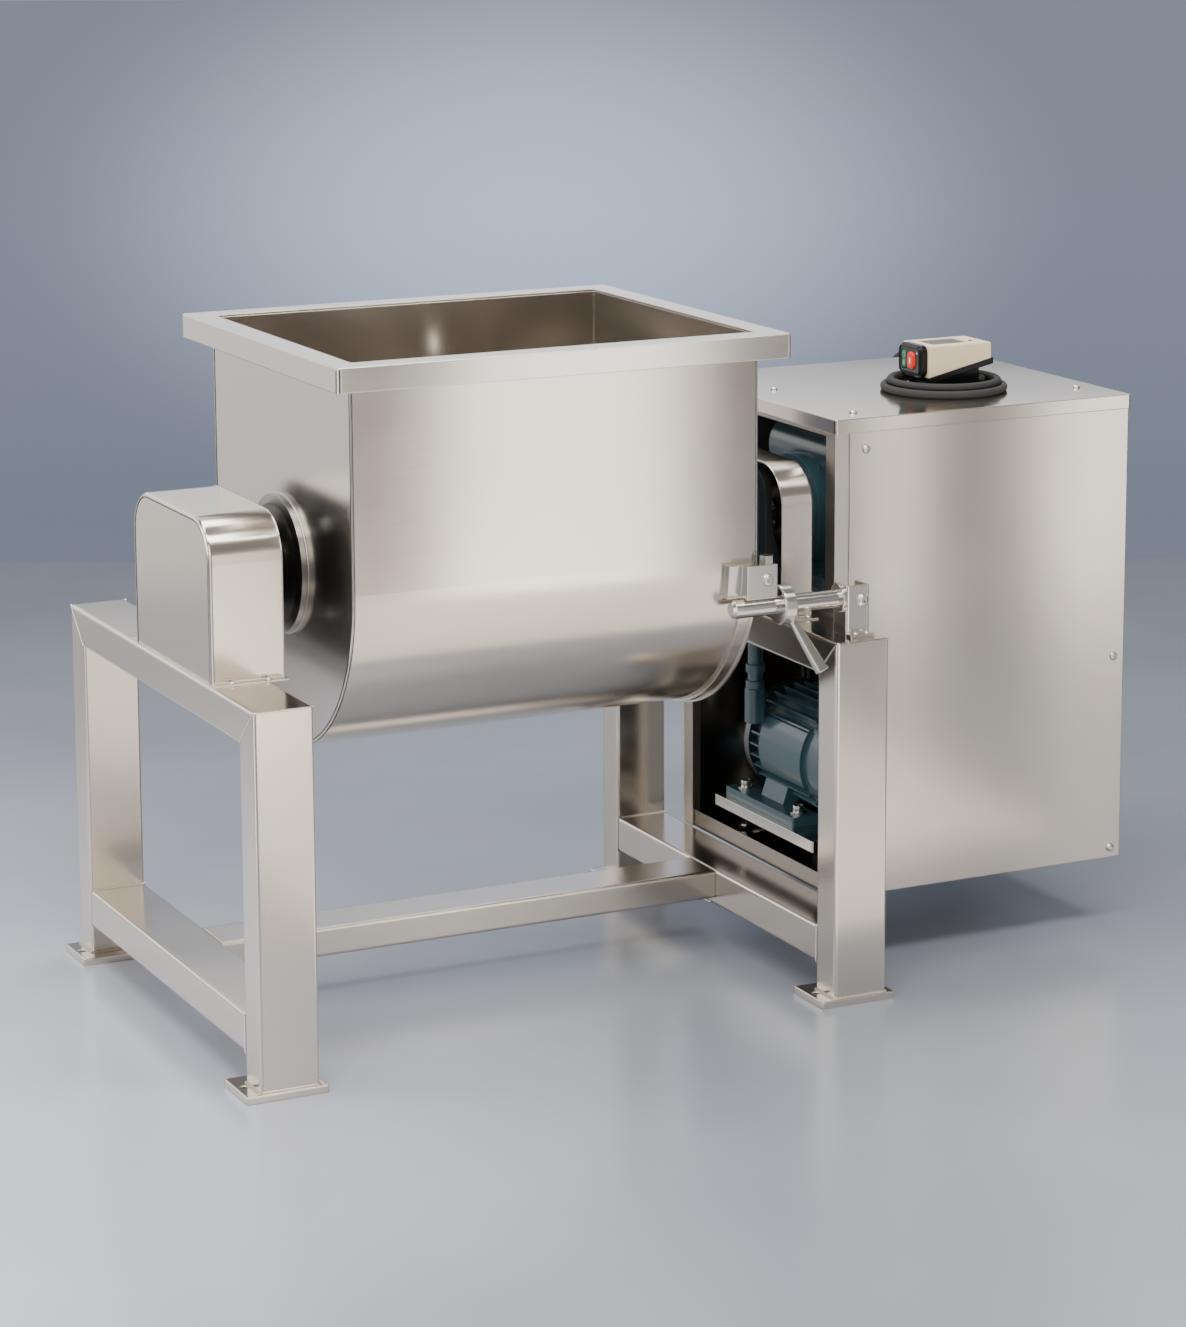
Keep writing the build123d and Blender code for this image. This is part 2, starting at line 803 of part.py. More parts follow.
lever_middle = Vector(ring_x + ring_width / 2, latch_y, latch_z)
lever_way = Vector(lever_out, -lever_forward, -lever_drop)
lever_root_plane = Plane(
    origin=lever_middle + lever_way.normalized() * (latch_radius + ring_radius) / 2,
    x_dir=(1, 0, 0),
    z_dir=lever_way,
)
lever_tip_plane = Plane(origin=lever_middle + lever_way, x_dir=(1, 0, 0), z_dir=lever_way)
with BuildPart() as latch_lever:
    with BuildSketch(latch_plane(ring_x)):
        Circle(ring_radius)
    extrude(amount=ring_width)
    chamfer(latch_lever.edges().filter_by(GeomType.CIRCLE), ring_chamfer)
    with BuildSketch(lever_root_plane):
        RectangleRounded(lever_root_width, lever_root_thickness, lever_corner)
    with BuildSketch(lever_tip_plane):
        RectangleRounded(lever_tip_width, lever_tip_thickness, lever_corner)
    loft()
    with BuildSketch(latch_plane(ring_x)):
        Circle(latch_radius)
    extrude(amount=ring_width, mode=Mode.SUBTRACT)
keep(latch_lever, "latch_lever")

# Cabinet: angle posts and rails, sheet panels, lid and slotted floor
panel_left_x = cabinet_left_x + panel_reveal
frame_right_x = cabinet_right_x - panel_sheet
frame_front_y = cabinet_front_y + panel_sheet
frame_back_y = cabinet_back_y - panel_sheet
frame_top = lid_top - lid_sheet
frame_mid_x = (cabinet_left_x + frame_right_x) / 2
frame_mid_y = (frame_front_y + frame_back_y) / 2
frame_width = frame_right_x - cabinet_left_x
frame_depth = frame_back_y - frame_front_y


def angle_section(corner_x, corner_y, turn_x, turn_y):
    """Draw an angle with its outer corner at the given place and its legs turned inwards."""
    align = (Align.MIN if turn_x > 0 else Align.MAX, Align.MIN if turn_y > 0 else Align.MAX)
    with Locations((corner_x, corner_y)):
        Rectangle(post_size, post_sheet, align=align)
        Rectangle(post_sheet, post_size, align=align)


with BuildPart() as cabinet_posts:
    with BuildSketch(Plane.XY.offset(cabinet_bottom)):
        angle_section(cabinet_left_x, frame_front_y, 1, 1)
        angle_section(cabinet_left_x, frame_back_y, 1, -1)
        angle_section(frame_right_x, frame_front_y, -1, 1)
        angle_section(frame_right_x, frame_back_y, -1, -1)
    extrude(amount=frame_top - cabinet_bottom)
keep(cabinet_posts, "cabinet_posts")

shelf_top = axis_z - gear_body_radius - gear_foot_thickness


def make_rails(flange_z, web_turn, along_x):
    """Angle rails at one level: a flat flange at flange_z and an upright web along the outside."""
    web_z = flange_z if web_turn > 0 else flange_z + post_sheet - post_size
    span_x = frame_width - 2 * post_sheet
    span_y = frame_depth - 2 * post_sheet
    with BuildPart() as rails:
        with BuildSketch(Plane.XY.offset(flange_z)):
            with Locations((frame_mid_x, frame_mid_y)):
                with GridLocations(span_x - post_size, 0, 2, 1):
                    Rectangle(post_size, span_y)
        extrude(amount=post_sheet)
        with BuildSketch(Plane.XY.offset(web_z)):
            with Locations((frame_mid_x, frame_mid_y)):
                with GridLocations(span_x - post_sheet, 0, 2, 1):
                    Rectangle(post_sheet, span_y)
        extrude(amount=post_size)
        if along_x:
            long_span = span_x - 2 * post_size
            with BuildSketch(Plane.XY.offset(flange_z)):
                with Locations((frame_mid_x, frame_mid_y)):
                    with GridLocations(0, span_y - post_size, 1, 2):
                        Rectangle(long_span, post_size)
            extrude(amount=post_sheet)
            with BuildSketch(Plane.XY.offset(web_z)):
                with Locations((frame_mid_x, frame_mid_y)):
                    with GridLocations(0, span_y - post_sheet, 1, 2):
                        Rectangle(long_span, post_sheet)
            extrude(amount=post_size)
    return rails


keep(make_rails(frame_top - post_sheet, -1, True), "cabinet_top_rails")
keep(make_rails(cabinet_bottom, 1, True), "cabinet_bottom_rails")
keep(make_rails(shelf_top - shelf_sheet - post_sheet, -1, False), "shelf_rails")

with BuildPart() as front_panel:
    with BuildSketch(Plane.XZ.offset(-frame_front_y)):
        panel_mid_x = (panel_left_x + cabinet_right_x) / 2
        panel_mid_z = (cabinet_bottom + frame_top) / 2
        with Locations((panel_mid_x, panel_mid_z)):
            Rectangle(cabinet_right_x - panel_left_x, frame_top - cabinet_bottom)
    extrude(amount=panel_sheet)
keep(front_panel, "front_panel")

with BuildPart() as right_panel:
    with BuildSketch(Plane.YZ.offset(frame_right_x)):
        with Locations((frame_mid_y, panel_mid_z)):
            Rectangle(frame_depth, frame_top - cabinet_bottom)
    extrude(amount=panel_sheet)
keep(right_panel, "right_panel")

cord_gland_z = lid_top - lid_skirt - gland_drop
with BuildPart() as rear_panel:
    with BuildSketch(Plane.XZ.offset(-cabinet_back_y)):
        with Locations(((cabinet_left_x + cabinet_right_x) / 2, panel_mid_z)):
            Rectangle(cabinet_right_x - cabinet_left_x, frame_top - cabinet_bottom)
        with Locations((cord_gland_x, cord_gland_z)):
            Circle(gland_radius, mode=Mode.SUBTRACT)
    extrude(amount=panel_sheet)
keep(rear_panel, "rear_panel")

lid_left_x = cabinet_left_x - lid_overhang
lid_right_x = cabinet_right_x + lid_overhang
lid_front_y = cabinet_front_y - lid_overhang
lid_back_y = cabinet_back_y + lid_overhang
lid_mid = ((lid_left_x + lid_right_x) / 2, (lid_front_y + lid_back_y) / 2)
lid_length = lid_right_x - lid_left_x
lid_depth = lid_back_y - lid_front_y
with BuildPart() as cabinet_lid:
    with BuildSketch(Plane.XY.offset(lid_top - lid_skirt)):
        with Locations(lid_mid):
            RectangleRounded(lid_length, lid_depth, lid_corner)
    extrude(amount=lid_skirt)
    fillet(cabinet_lid.faces().sort_by(Axis.Z)[-1].edges(), lid_sheet / 2)
    with BuildSketch(Plane.XY.offset(lid_top - lid_skirt)):
        with Locations(lid_mid):
            RectangleRounded(
                lid_length - 2 * lid_sheet, lid_depth - 2 * lid_sheet, lid_corner - lid_sheet
            )
    extrude(amount=lid_skirt - lid_sheet, mode=Mode.SUBTRACT)
keep(cabinet_lid, "cabinet_lid")

# Motor seat: studs stand in the slots of the floor and carry the motor plate
stud_spots = [
    (motor_plate_left_x + stud_side_inset + i * (motor_plate_width - 2 * stud_side_inset),
     j * (motor_plate_length / 2 - stud_inset))
    for i in (0, 1)
    for j in (-1, 1)
]
floor_bottom = cabinet_bottom + post_sheet
floor_top = floor_bottom + floor_sheet
with BuildPart() as cabinet_floor:
    with BuildSketch(Plane.XY.offset(floor_bottom)):
        with Locations((frame_mid_x, frame_mid_y)):
            Rectangle(frame_width - 4 * post_sheet, frame_depth - 4 * post_sheet)
        with Locations(*stud_spots):
            SlotOverall(slot_length, slot_width, mode=Mode.SUBTRACT)
    extrude(amount=floor_sheet)
keep(cabinet_floor, "cabinet_floor")

motor_plate_top = motor_plate_bottom + motor_plate_thickness
stud_bottom = floor_bottom - nut_height - washer_thickness - stud_end
stud_length = motor_plate_top - stud_bottom
with BuildPart() as motor_plate:
    with BuildSketch(Plane.XY.offset(motor_plate_bottom)):
        with Locations((motor_plate_left_x + motor_plate_width / 2, 0)):
            RectangleRounded(motor_plate_width, motor_plate_length, motor_plate_corner)
        with Locations(*stud_spots):
            Circle(stud_radius, mode=Mode.SUBTRACT)
    extrude(amount=motor_plate_thickness)
keep(motor_plate, "motor_plate")

with BuildPart() as motor_studs:
    for level, height, radius in (
        (stud_bottom, stud_length, stud_radius),
        (floor_bottom - washer_thickness, washer_thickness, washer_radius),
        (floor_top, washer_thickness, washer_radius),
        (motor_plate_bottom - washer_thickness, washer_thickness, washer_radius),
    ):
        with BuildSketch(Plane.XY.offset(level)):
            with Locations(*stud_spots):
                Circle(radius)
        extrude(amount=height)
    for level in (
        floor_bottom - washer_thickness - nut_height,
        floor_top + washer_thickness,
        motor_plate_bottom - washer_thickness - nut_height,
    ):
        with BuildSketch(Plane.XY.offset(level)):
            with Locations(*stud_spots):
                RegularPolygon(nut_across / 2, 6, major_radius=False)
        extrude(amount=nut_height)
keep(motor_studs, "motor_studs")

# Motor: finned stator casting on feet, end ring, hollow fan cowl, rotor shaft and fan
motor_axis_z = motor_plate_top + motor_axis_height
stator_back_y = stator_front_y + stator_length
motor_line = Axis((motor_x, 0, motor_axis_z), (0, 1, 0))


def motor_plane(y):
    """Plane facing +Y at y, centred on the motor axis, with its own y up."""
    return Plane(origin=(motor_x, y, motor_axis_z), x_dir=(-1, 0, 0), z_dir=(0, 1, 0))


pad_top = motor_plate_top + motor_pad_thickness
foot_bolt_spots = [
    (motor_x + i * motor_foot_pitch_x / 2, motor_foot_y + j * motor_foot_pitch_y / 2)
    for i in (-1, 1)
    for j in (-1, 1)
]
with BuildPart() as motor_body:
    with BuildSketch(motor_plane(stator_front_y)):
        Circle(motor_core_radius)
        with PolarLocations(motor_core_radius, fin_count):
            Rectangle(2 * fin_height, fin_thickness)
    extrude(amount=stator_length)
    with BuildSketch(motor_plane(stator_front_y)):
        Circle(motor_core_radius + fin_height)
        with Locations((motor_core_radius, (side_panel_high - side_panel_low) / 2)):
            Rectangle(motor_core_radius, side_panel_high + side_panel_low, mode=Mode.INTERSECT)
    extrude(amount=side_panel_length)
    with BuildSketch(motor_plane(stator_front_y)):
        Circle(motor_core_radius + fin_height / 2)
    extrude(amount=-shield_length)
    with BuildSketch(Plane.XY.offset(motor_plate_top)):
        with Locations((motor_x, motor_foot_y)):
            with GridLocations(motor_foot_pitch_x, 0, 2, 1):
                RectangleRounded(motor_pad_width, motor_pad_length, motor_plate_corner)
    extrude(amount=motor_pad_thickness)
    for side in (-1, 1):
        with BuildSketch(Plane.XZ.offset(-motor_foot_y)):
            with BuildLine():
                Polyline(
                    (motor_x + side * motor_foot_pitch_x / 2, pad_top),
                    (motor_x + side * (motor_core_radius - fin_height), motor_axis_z - motor_web_rise),
                    (motor_x + side * motor_core_radius / 3, motor_axis_z - motor_core_radius + fin_height),
                    (motor_x + side * (motor_foot_pitch_x - motor_pad_width) / 2, pad_top),
                    close=True,
                )
            make_face()
        extrude(amount=motor_web_length / 2, both=True)
    with BuildSketch(Plane.XY.offset(motor_plate_top)):
        with Locations(*foot_bolt_spots):
            Circle(bolt_shank_radius + bolt_clearance)
    extrude(amount=motor_pad_thickness, mode=Mode.SUBTRACT)
    with BuildSketch(Plane.XY.offset(terminal_box_bottom)):
        with Locations((conduit_x, conduit_y)):
            RectangleRounded(terminal_box_width, terminal_box_width, terminal_box_corner)
    extrude(amount=terminal_box_top - terminal_box_bottom)
    with BuildSketch(motor_plane(stator_front_y - shield_length)):
        Circle(rotor_shaft_radius + shaft_clearance)
    extrude(amount=stator_length + shield_length, mode=Mode.SUBTRACT)
keep(motor_body, "motor_body")

with BuildPart() as motor_end_ring:
    with BuildSketch(motor_plane(stator_back_y)):
        Circle(ring_flange_radius)
        Circle(rotor_shaft_radius + shaft_clearance, mode=Mode.SUBTRACT)
    extrude(amount=ring_flange_length)
    chamfer(motor_end_ring.faces().sort_by(Axis.Y)[-1].outer_wire().edges(), cowl_sheet)
keep(motor_end_ring, "motor_end_ring")

cowl_front_y = stator_front_y - shield_length - cowl_length
with BuildPart() as motor_cowl:
    with BuildSketch(motor_plane(cowl_front_y)):
        Circle(cowl_radius)
    extrude(amount=cowl_length)
    fillet(motor_cowl.edges().filter_by(GeomType.CIRCLE).sort_by(Axis.Y)[0], cowl_gap)
    with BuildSketch(motor_plane(cowl_front_y + cowl_sheet)):
        Circle(cowl_radius - cowl_sheet)
    extrude(amount=cowl_length - cowl_sheet, mode=Mode.SUBTRACT)
    with BuildSketch(motor_plane(cowl_front_y)):
        with GridLocations(0, cowl_slot_pitch, 1, int(2 * cowl_grille_radius / cowl_slot_pitch)):
            Rectangle(cowl_grille_radius, cowl_slot_width)
    extrude(amount=cowl_gap + cowl_sheet, mode=Mode.SUBTRACT)
keep(motor_cowl, "motor_cowl")

fan_back_y = stator_front_y - shield_length - cowl_gap
shaft_front_y = fan_back_y - fan_length
shaft_back_y = stator_back_y + ring_flange_length + rotor_shaft_length
with BuildPart() as rotor_shaft:
    with BuildSketch(motor_plane(shaft_front_y)):
        Circle(rotor_shaft_radius)
    extrude(amount=shaft_back_y - shaft_front_y)
    chamfer(rotor_shaft.edges().filter_by(GeomType.CIRCLE), shaft_chamfer)
keep(rotor_shaft, "rotor_shaft")

with BuildPart() as motor_fan:
    with BuildSketch(motor_plane(fan_back_y - fan_length + shaft_chamfer)):
        Circle(fan_hub_radius)
        with PolarLocations((fan_radius + fan_hub_radius) / 2, fan_blade_count):
            Rectangle(fan_radius - fan_hub_radius + fan_blade_thickness, fan_blade_thickness)
        Circle(rotor_shaft_radius, mode=Mode.SUBTRACT)
    extrude(amount=fan_length - shaft_chamfer)
keep(motor_fan, "motor_fan")

with BuildPart() as terminal_conduit:
    for level, radius, top in (
        (terminal_box_top, conduit_radius, shelf_top - shelf_sheet - post_sheet),
        (terminal_box_top, conduit_collar_radius, terminal_box_top + conduit_collar_length),
        (
            terminal_box_top + 2 * conduit_collar_length,
            conduit_collar_radius,
            terminal_box_top + 3 * conduit_collar_length,
        ),
    ):
        with BuildSketch(Plane.XY.offset(level)):
            with Locations((conduit_x, conduit_y)):
                Circle(radius)
        extrude(amount=top - level)
keep(terminal_conduit, "terminal_conduit")

# Worm reducer: solid sealed casting on the shelf, with bores for the two shafts
worm_z = axis_z + gear_centre
worm_back_y = axis_y + worm_body_length / 2
input_front_y = worm_back_y - 2 * input_shaft_radius
input_back_y = pulley_y + pulley_width / 2 + shaft_overhang
gear_left_x = gear_x - gear_width / 2


def worm_plane(y):
    """Plane facing +Y at y, centred on the reducer's input axis, with its own y up."""
    return Plane(origin=(gear_x, y, worm_z), x_dir=(-1, 0, 0), z_dir=(0, 1, 0))


with BuildPart() as gear_shelf:
    with BuildSketch(Plane.XY.offset(shelf_top - shelf_sheet)):
        shelf_back_y = axis_y + gear_foot_length / 2 + shelf_back_margin
        shelf_front_y = frame_front_y + post_size + shelf_front_gap
        with Locations((frame_mid_x, (shelf_front_y + shelf_back_y) / 2)):
            Rectangle(frame_width - 2 * post_sheet, shelf_back_y - shelf_front_y)
    extrude(amount=shelf_sheet)
keep(gear_shelf, "gear_shelf")

with BuildPart() as gear_housing:
    with BuildSketch(across_plane(gear_left_x)):
        Circle(gear_body_radius)
        with Locations((0, -gear_body_radius / 2)):
            Rectangle(2 * gear_body_radius * gear_web_share, gear_body_radius)
    extrude(amount=gear_width)
    with BuildSketch(Plane.XY.offset(shelf_top)):
        with Locations((gear_x, axis_y)):
            RectangleRounded(gear_width, gear_foot_length, motor_plate_corner)
    extrude(amount=gear_foot_thickness)
    with BuildSketch(across_plane(gear_left_x - gear_hub_length)):
        Circle(gear_hub_radius)
    extrude(amount=gear_width + 2 * gear_hub_length)
    with BuildSketch(across_plane(gear_x - worm_body_radius)):
        Rectangle(gear_body_radius * 2 * gear_web_share, gear_centre, align=(Align.CENTER, Align.MIN))
    extrude(amount=2 * worm_body_radius)
    with BuildSketch(worm_plane(axis_y - worm_body_length / 2)):
        Circle(worm_body_radius)
    extrude(amount=worm_body_length)
    with BuildSketch(worm_plane(input_front_y)):
        Circle(input_shaft_radius + shaft_clearance)
    extrude(amount=worm_body_length, mode=Mode.SUBTRACT)
    with BuildSketch(across_plane(gear_left_x - gear_hub_length)):
        Circle(shaft_radius + shaft_clearance)
    extrude(amount=gear_width + 2 * gear_hub_length, mode=Mode.SUBTRACT)
keep(gear_housing, "gear_housing")

with BuildPart() as gear_covers:
    for face_x, out in ((gear_left_x, -1), (gear_left_x + gear_width, 1)):
        with BuildSketch(across_plane(face_x)):
            Circle(gear_cover_radius)
            Circle(gear_hub_radius, mode=Mode.SUBTRACT)
        extrude(amount=out * gear_cover_thickness)
        with BuildSketch(across_plane(face_x + out * gear_cover_thickness)):
            with PolarLocations((gear_cover_radius + gear_hub_radius) / 2, gear_cover_bolts):
                RegularPolygon(gear_bolt_across / 2, 6, major_radius=False)
        extrude(amount=out * gear_bolt_head)
keep(gear_covers, "gear_covers")


# Pulleys and belts
def pulley_profile(radius, bore):
    """Half section of a pulley with two vee grooves; x runs outwards, y along the shaft."""
    half = pulley_width / 2
    points = [(bore, -half), (radius, -half)]
    for groove in (-groove_pitch / 2, groove_pitch / 2):
        points.append((radius, groove - groove_top / 2))
        points.append((radius - groove_depth, groove - groove_bottom / 2))
        points.append((radius - groove_depth, groove + groove_bottom / 2))
        points.append((radius, groove + groove_top / 2))
    points += [(radius, half), (bore, half)]
    Polygon(*points, align=None)


def pulley_plane(x, z):
    """Plane that holds a pulley's axis; its x is along +X and its y along +Y."""
    return Plane(origin=(x, pulley_y, z), x_dir=(1, 0, 0), z_dir=(0, 0, 1))


with BuildPart() as motor_pulley:
    with BuildSketch(pulley_plane(motor_x, motor_axis_z)):
        pulley_profile(motor_pulley_radius, rotor_shaft_radius)
    revolve(axis=motor_line)
keep(motor_pulley, "motor_pulley")

input_line = Axis((gear_x, 0, worm_z), (0, 1, 0))
with BuildPart() as gear_input_shaft:
    with BuildSketch(worm_plane(input_front_y)):
        Circle(input_shaft_radius)
    extrude(amount=input_back_y - input_front_y)
    chamfer(gear_input_shaft.edges().filter_by(GeomType.CIRCLE), shaft_chamfer)
keep(gear_input_shaft, "gear_input_shaft")

with BuildPart() as gear_pulley:
    with BuildSketch(pulley_plane(gear_x, worm_z)):
        pulley_profile(gear_pulley_radius, input_shaft_radius)
    revolve(axis=input_line)
keep(gear_pulley, "gear_pulley")


with BuildPart() as drive_belts:
    for groove in (-groove_pitch / 2, groove_pitch / 2):
        belt_front_y = pulley_y + groove - belt_width / 2
        for shrink, mode in ((0, Mode.ADD), (belt_height, Mode.SUBTRACT)):
            with BuildSketch(Plane.XZ.offset(-belt_front_y)):
                with Locations((motor_x, motor_axis_z)):
                    Circle(motor_pulley_radius + belt_proud - shrink)
                with Locations((gear_x, worm_z)):
                    Circle(gear_pulley_radius + belt_proud - shrink)
                make_hull()
            extrude(amount=-belt_width, mode=mode)
keep(drive_belts, "drive_belts")

# Pendant switch: wedge housing on a sloped base, with two sprung buttons in a frame
pendant_left_x = pendant_x - pendant_left_reach
pendant_right_x = pendant_left_x + pendant_length
pendant_top_z = lid_top + pendant_top
button_centre_z = lid_top + (pendant_top + pendant_left_bottom) / 2
window_width = button_pitch + button_width + 2 * (button_flange_step + window_margin)
window_height = button_height + 2 * (button_flange_step + window_margin)


def slope_z(x):
    """Height of the housing's sloping underside at x."""
    rise = pendant_right_bottom - pendant_left_bottom
    return lid_top + pendant_left_bottom + rise * (x - pendant_left_x) / pendant_length


def wedge(left_x, right_x, drop, top_z):
    """Draw a side view with a level top and an underside that keeps drop below the slope."""
    Polygon(
        (left_x, slope_z(left_x) - drop),
        (right_x, slope_z(right_x) - drop),
        (right_x, top_z),
        (left_x, top_z),
        align=None,
    )


with BuildPart() as pendant_housing:
    with BuildSketch(Plane.XZ.offset(-(pendant_y + pendant_width / 2))):
        wedge(pendant_left_x, pendant_right_x, 0, pendant_top_z)
    extrude(amount=pendant_width)
    fillet(pendant_housing.faces().sort_by(Axis.Z)[-1].edges(), pendant_corner / 2)
    with BuildSketch(Plane.XZ.offset(-(pendant_y + pendant_width / 2 - pendant_wall))):
        inner_left_x = pendant_left_x + pendant_wall
        inner_right_x = pendant_right_x - pendant_wall
        wedge(inner_left_x, inner_right_x, pendant_wall, pendant_top_z - pendant_wall)
    extrude(amount=pendant_width - 2 * pendant_wall, mode=Mode.SUBTRACT)
    with BuildSketch(Plane.XY.offset(pendant_top_z)):
        with Locations((pendant_left_x + recess_inset + recess_length / 2, pendant_y)):
            RectangleRounded(recess_length, recess_width, pendant_corner)
    extrude(amount=-recess_depth, mode=Mode.SUBTRACT)
    with BuildSketch(Plane.YZ.offset(pendant_left_x)):
        with Locations((pendant_y, button_centre_z)):
            Rectangle(window_width, window_height)
    extrude(amount=pendant_wall, mode=Mode.SUBTRACT)
keep(pendant_housing, "pendant_housing")

coil_middle_radius = coil_inner_radius + coil_nest
coil_outer_radius = coil_middle_radius + 2 * cord_radius
coil_height = 2 * cord_radius + coil_nest
with BuildPart() as pendant_base:
    with BuildSketch(Plane.XZ.offset(-(pendant_y + pendant_width / 2))):
        with BuildLine():
            Polyline(
                (pendant_left_x, slope_z(pendant_left_x)),
                (pendant_right_x, slope_z(pendant_right_x)),
                (pendant_right_x + base_lip, slope_z(pendant_right_x + base_lip)),
                (pendant_right_x + base_lip, slope_z(pendant_right_x) - base_slab),
                (pendant_left_x, slope_z(pendant_left_x) - base_slab),
                close=True,
            )
        make_face()
    extrude(amount=pendant_width)
    block_left_x = pendant_x - base_block_length / 2
    block_right_x = pendant_x + base_block_length / 2
    with BuildSketch(Plane.XZ.offset(-(pendant_y + base_block_width / 2))):
        with BuildLine():
            Polyline(
                (block_left_x, lid_top),
                (block_right_x, lid_top),
                (block_right_x, slope_z(block_right_x) - base_slab / 2),
                (block_left_x, slope_z(block_left_x) - base_slab / 2),
                close=True,
            )
        make_face()
    extrude(amount=base_block_width)
    with BuildSketch(Plane.YZ.offset(block_right_x)):
        with Locations((pendant_y, lid_top + cord_radius)):
            Circle(cord_radius)
    extrude(amount=coil_inner_radius)
    with BuildSketch(Plane.XY.offset(lid_top)):
        with Locations((pendant_x, pendant_y)):
            Circle(coil_outer_radius + coil_inner_radius)
            Circle(coil_inner_radius, mode=Mode.SUBTRACT)
    extrude(amount=coil_height, mode=Mode.SUBTRACT)
keep(pendant_base, "pendant_base")

button_frame_x = pendant_left_x - button_frame_depth
with BuildPart() as button_frame:
    with BuildSketch(Plane.YZ.offset(button_frame_x)):
        with Locations((pendant_y, button_centre_z)):
            RectangleRounded(button_frame_width, button_frame_height, button_frame_corner)
    extrude(amount=button_frame_depth)
    chamfer(button_frame.faces().sort_by(Axis.X)[0].edges(), button_frame_bevel)
    with BuildSketch(Plane.YZ.offset(button_frame_x)):
        with Locations((pendant_y, button_centre_z)):
            RectangleRounded(button_well_width, button_well_height, button_well_corner)
    extrude(amount=button_well, mode=Mode.SUBTRACT)
    with BuildSketch(Plane.YZ.offset(button_frame_x)):
        with Locations((pendant_y, button_centre_z)):
            with GridLocations(button_pitch, 0, 2, 1):
                Rectangle(button_width + 2 * body_gap, button_height + 2 * body_gap)
    extrude(amount=button_frame_depth, mode=Mode.SUBTRACT)
keep(button_frame, "button_frame")

flange_front_x = pendant_left_x + body_gap
contact_left_x = flange_front_x + button_flange_thickness + button_travel + body_gap


def make_button(side):
    """Push button with a retaining flange and a stem; side puts it left or right of the middle."""
    with BuildPart() as button:
        button_spot = (pendant_y + side * button_pitch / 2, button_centre_z)
        with BuildSketch(Plane.YZ.offset(button_frame_x - button_proud)):
            with Locations(button_spot):
                Rectangle(button_width, button_height)
        extrude(amount=flange_front_x - button_frame_x + button_proud)
        chamfer(button.faces().sort_by(Axis.X)[0].edges(), button_proud / 3)
        with BuildSketch(Plane.YZ.offset(flange_front_x)):
            with Locations(button_spot):
                flange_width = button_width + 2 * button_flange_step
                Rectangle(flange_width, button_height + 2 * button_flange_step)
        extrude(amount=button_flange_thickness)
        with BuildSketch(Plane.YZ.offset(flange_front_x + button_flange_thickness)):
            with Locations(button_spot):
                Circle(button_stem_radius)
        extrude(amount=button_stem_length)
    return button


keep(make_button(1), "start_button")
keep(make_button(-1), "stop_button")

with BuildPart() as contact_block:
    with BuildSketch(Plane.YZ.offset(contact_left_x)):
        with Locations((pendant_y, button_centre_z)):
            Rectangle(pendant_width - 2 * pendant_wall, contact_height)
            with GridLocations(button_pitch, 0, 2, 1):
                Circle(button_stem_radius + body_gap, mode=Mode.SUBTRACT)
    extrude(amount=contact_bore_depth)
    with BuildSketch(Plane.YZ.offset(contact_left_x + contact_bore_depth)):
        with Locations((pendant_y, button_centre_z)):
            Rectangle(pendant_width - 2 * pendant_wall, contact_height)
    extrude(amount=contact_length - contact_bore_depth)
keep(contact_block, "contact_block")

# Cord: two turns on the lid, a lead over the back edge and a gland in the rear panel
with BuildPart() as cord_coil:
    with BuildSketch(Plane.XY.offset(lid_top)):
        with Locations(Location((pendant_x, pendant_y), (0, 0, coil_start_angle))):
            Circle(coil_outer_radius)
            Circle(coil_middle_radius, mode=Mode.SUBTRACT)
            Polygon(
                (0, 0),
                (2 * coil_outer_radius, 0),
                (2 * coil_outer_radius, 2 * coil_outer_radius * tan(radians(coil_leave_angle))),
                align=None,
                mode=Mode.SUBTRACT,
            )
            Circle(coil_middle_radius)
            Circle(coil_inner_radius, mode=Mode.SUBTRACT)
    extrude(amount=coil_height)
keep(cord_coil, "cord_coil")

gland_face_y = cabinet_back_y + gland_nut + gland_length
with BuildPart() as cord_gland:
    with BuildSketch(Plane.XZ.offset(-(cabinet_back_y - panel_sheet))):
        with Locations((cord_gland_x, cord_gland_z)):
            Circle(gland_radius)
    extrude(amount=-(panel_sheet + gland_nut + gland_length))
    with BuildSketch(Plane.XZ.offset(-cabinet_back_y)):
        with Locations((cord_gland_x, cord_gland_z)):
            RegularPolygon(gland_radius + gland_nut / 2, 6)
    extrude(amount=-gland_nut)
    with BuildSketch(Plane.XZ.offset(-(cabinet_back_y - panel_sheet))):
        with Locations((cord_gland_x, cord_gland_z)):
            RegularPolygon(gland_radius + gland_nut / 2, 6)
    extrude(amount=gland_nut)
keep(cord_gland, "cord_gland")

coil_leave_radius = coil_outer_radius - cord_radius
leave_cos = cos(radians(coil_start_angle))
leave_sin = sin(radians(coil_start_angle))
cord_start = Vector(
    pendant_x + coil_leave_radius * leave_cos,
    pendant_y + coil_leave_radius * leave_sin,
    lid_top + cord_radius,
)
cord_points = [cord_start, cord_start + Vector(-leave_sin, leave_cos, 0) * cord_first_run]
cord_points += [
    Vector(cord_gland_x + shift, gland_face_y + reach, cord_gland_z + rise)
    for shift, reach, rise in cord_way
]


def bend_radii(points):
    """Radius of the arc at every inner point: a share of the shorter run beside it."""
    radii = []
    for before, here, after in zip(points, points[1:], points[2:]):
        run_in = here - before
        run_out = after - here
        turn = acos(run_in.normalized().dot(run_out.normalized()))
        radii.append(cord_bend_share * min(run_in.length, run_out.length) / tan(turn / 2))
    return radii


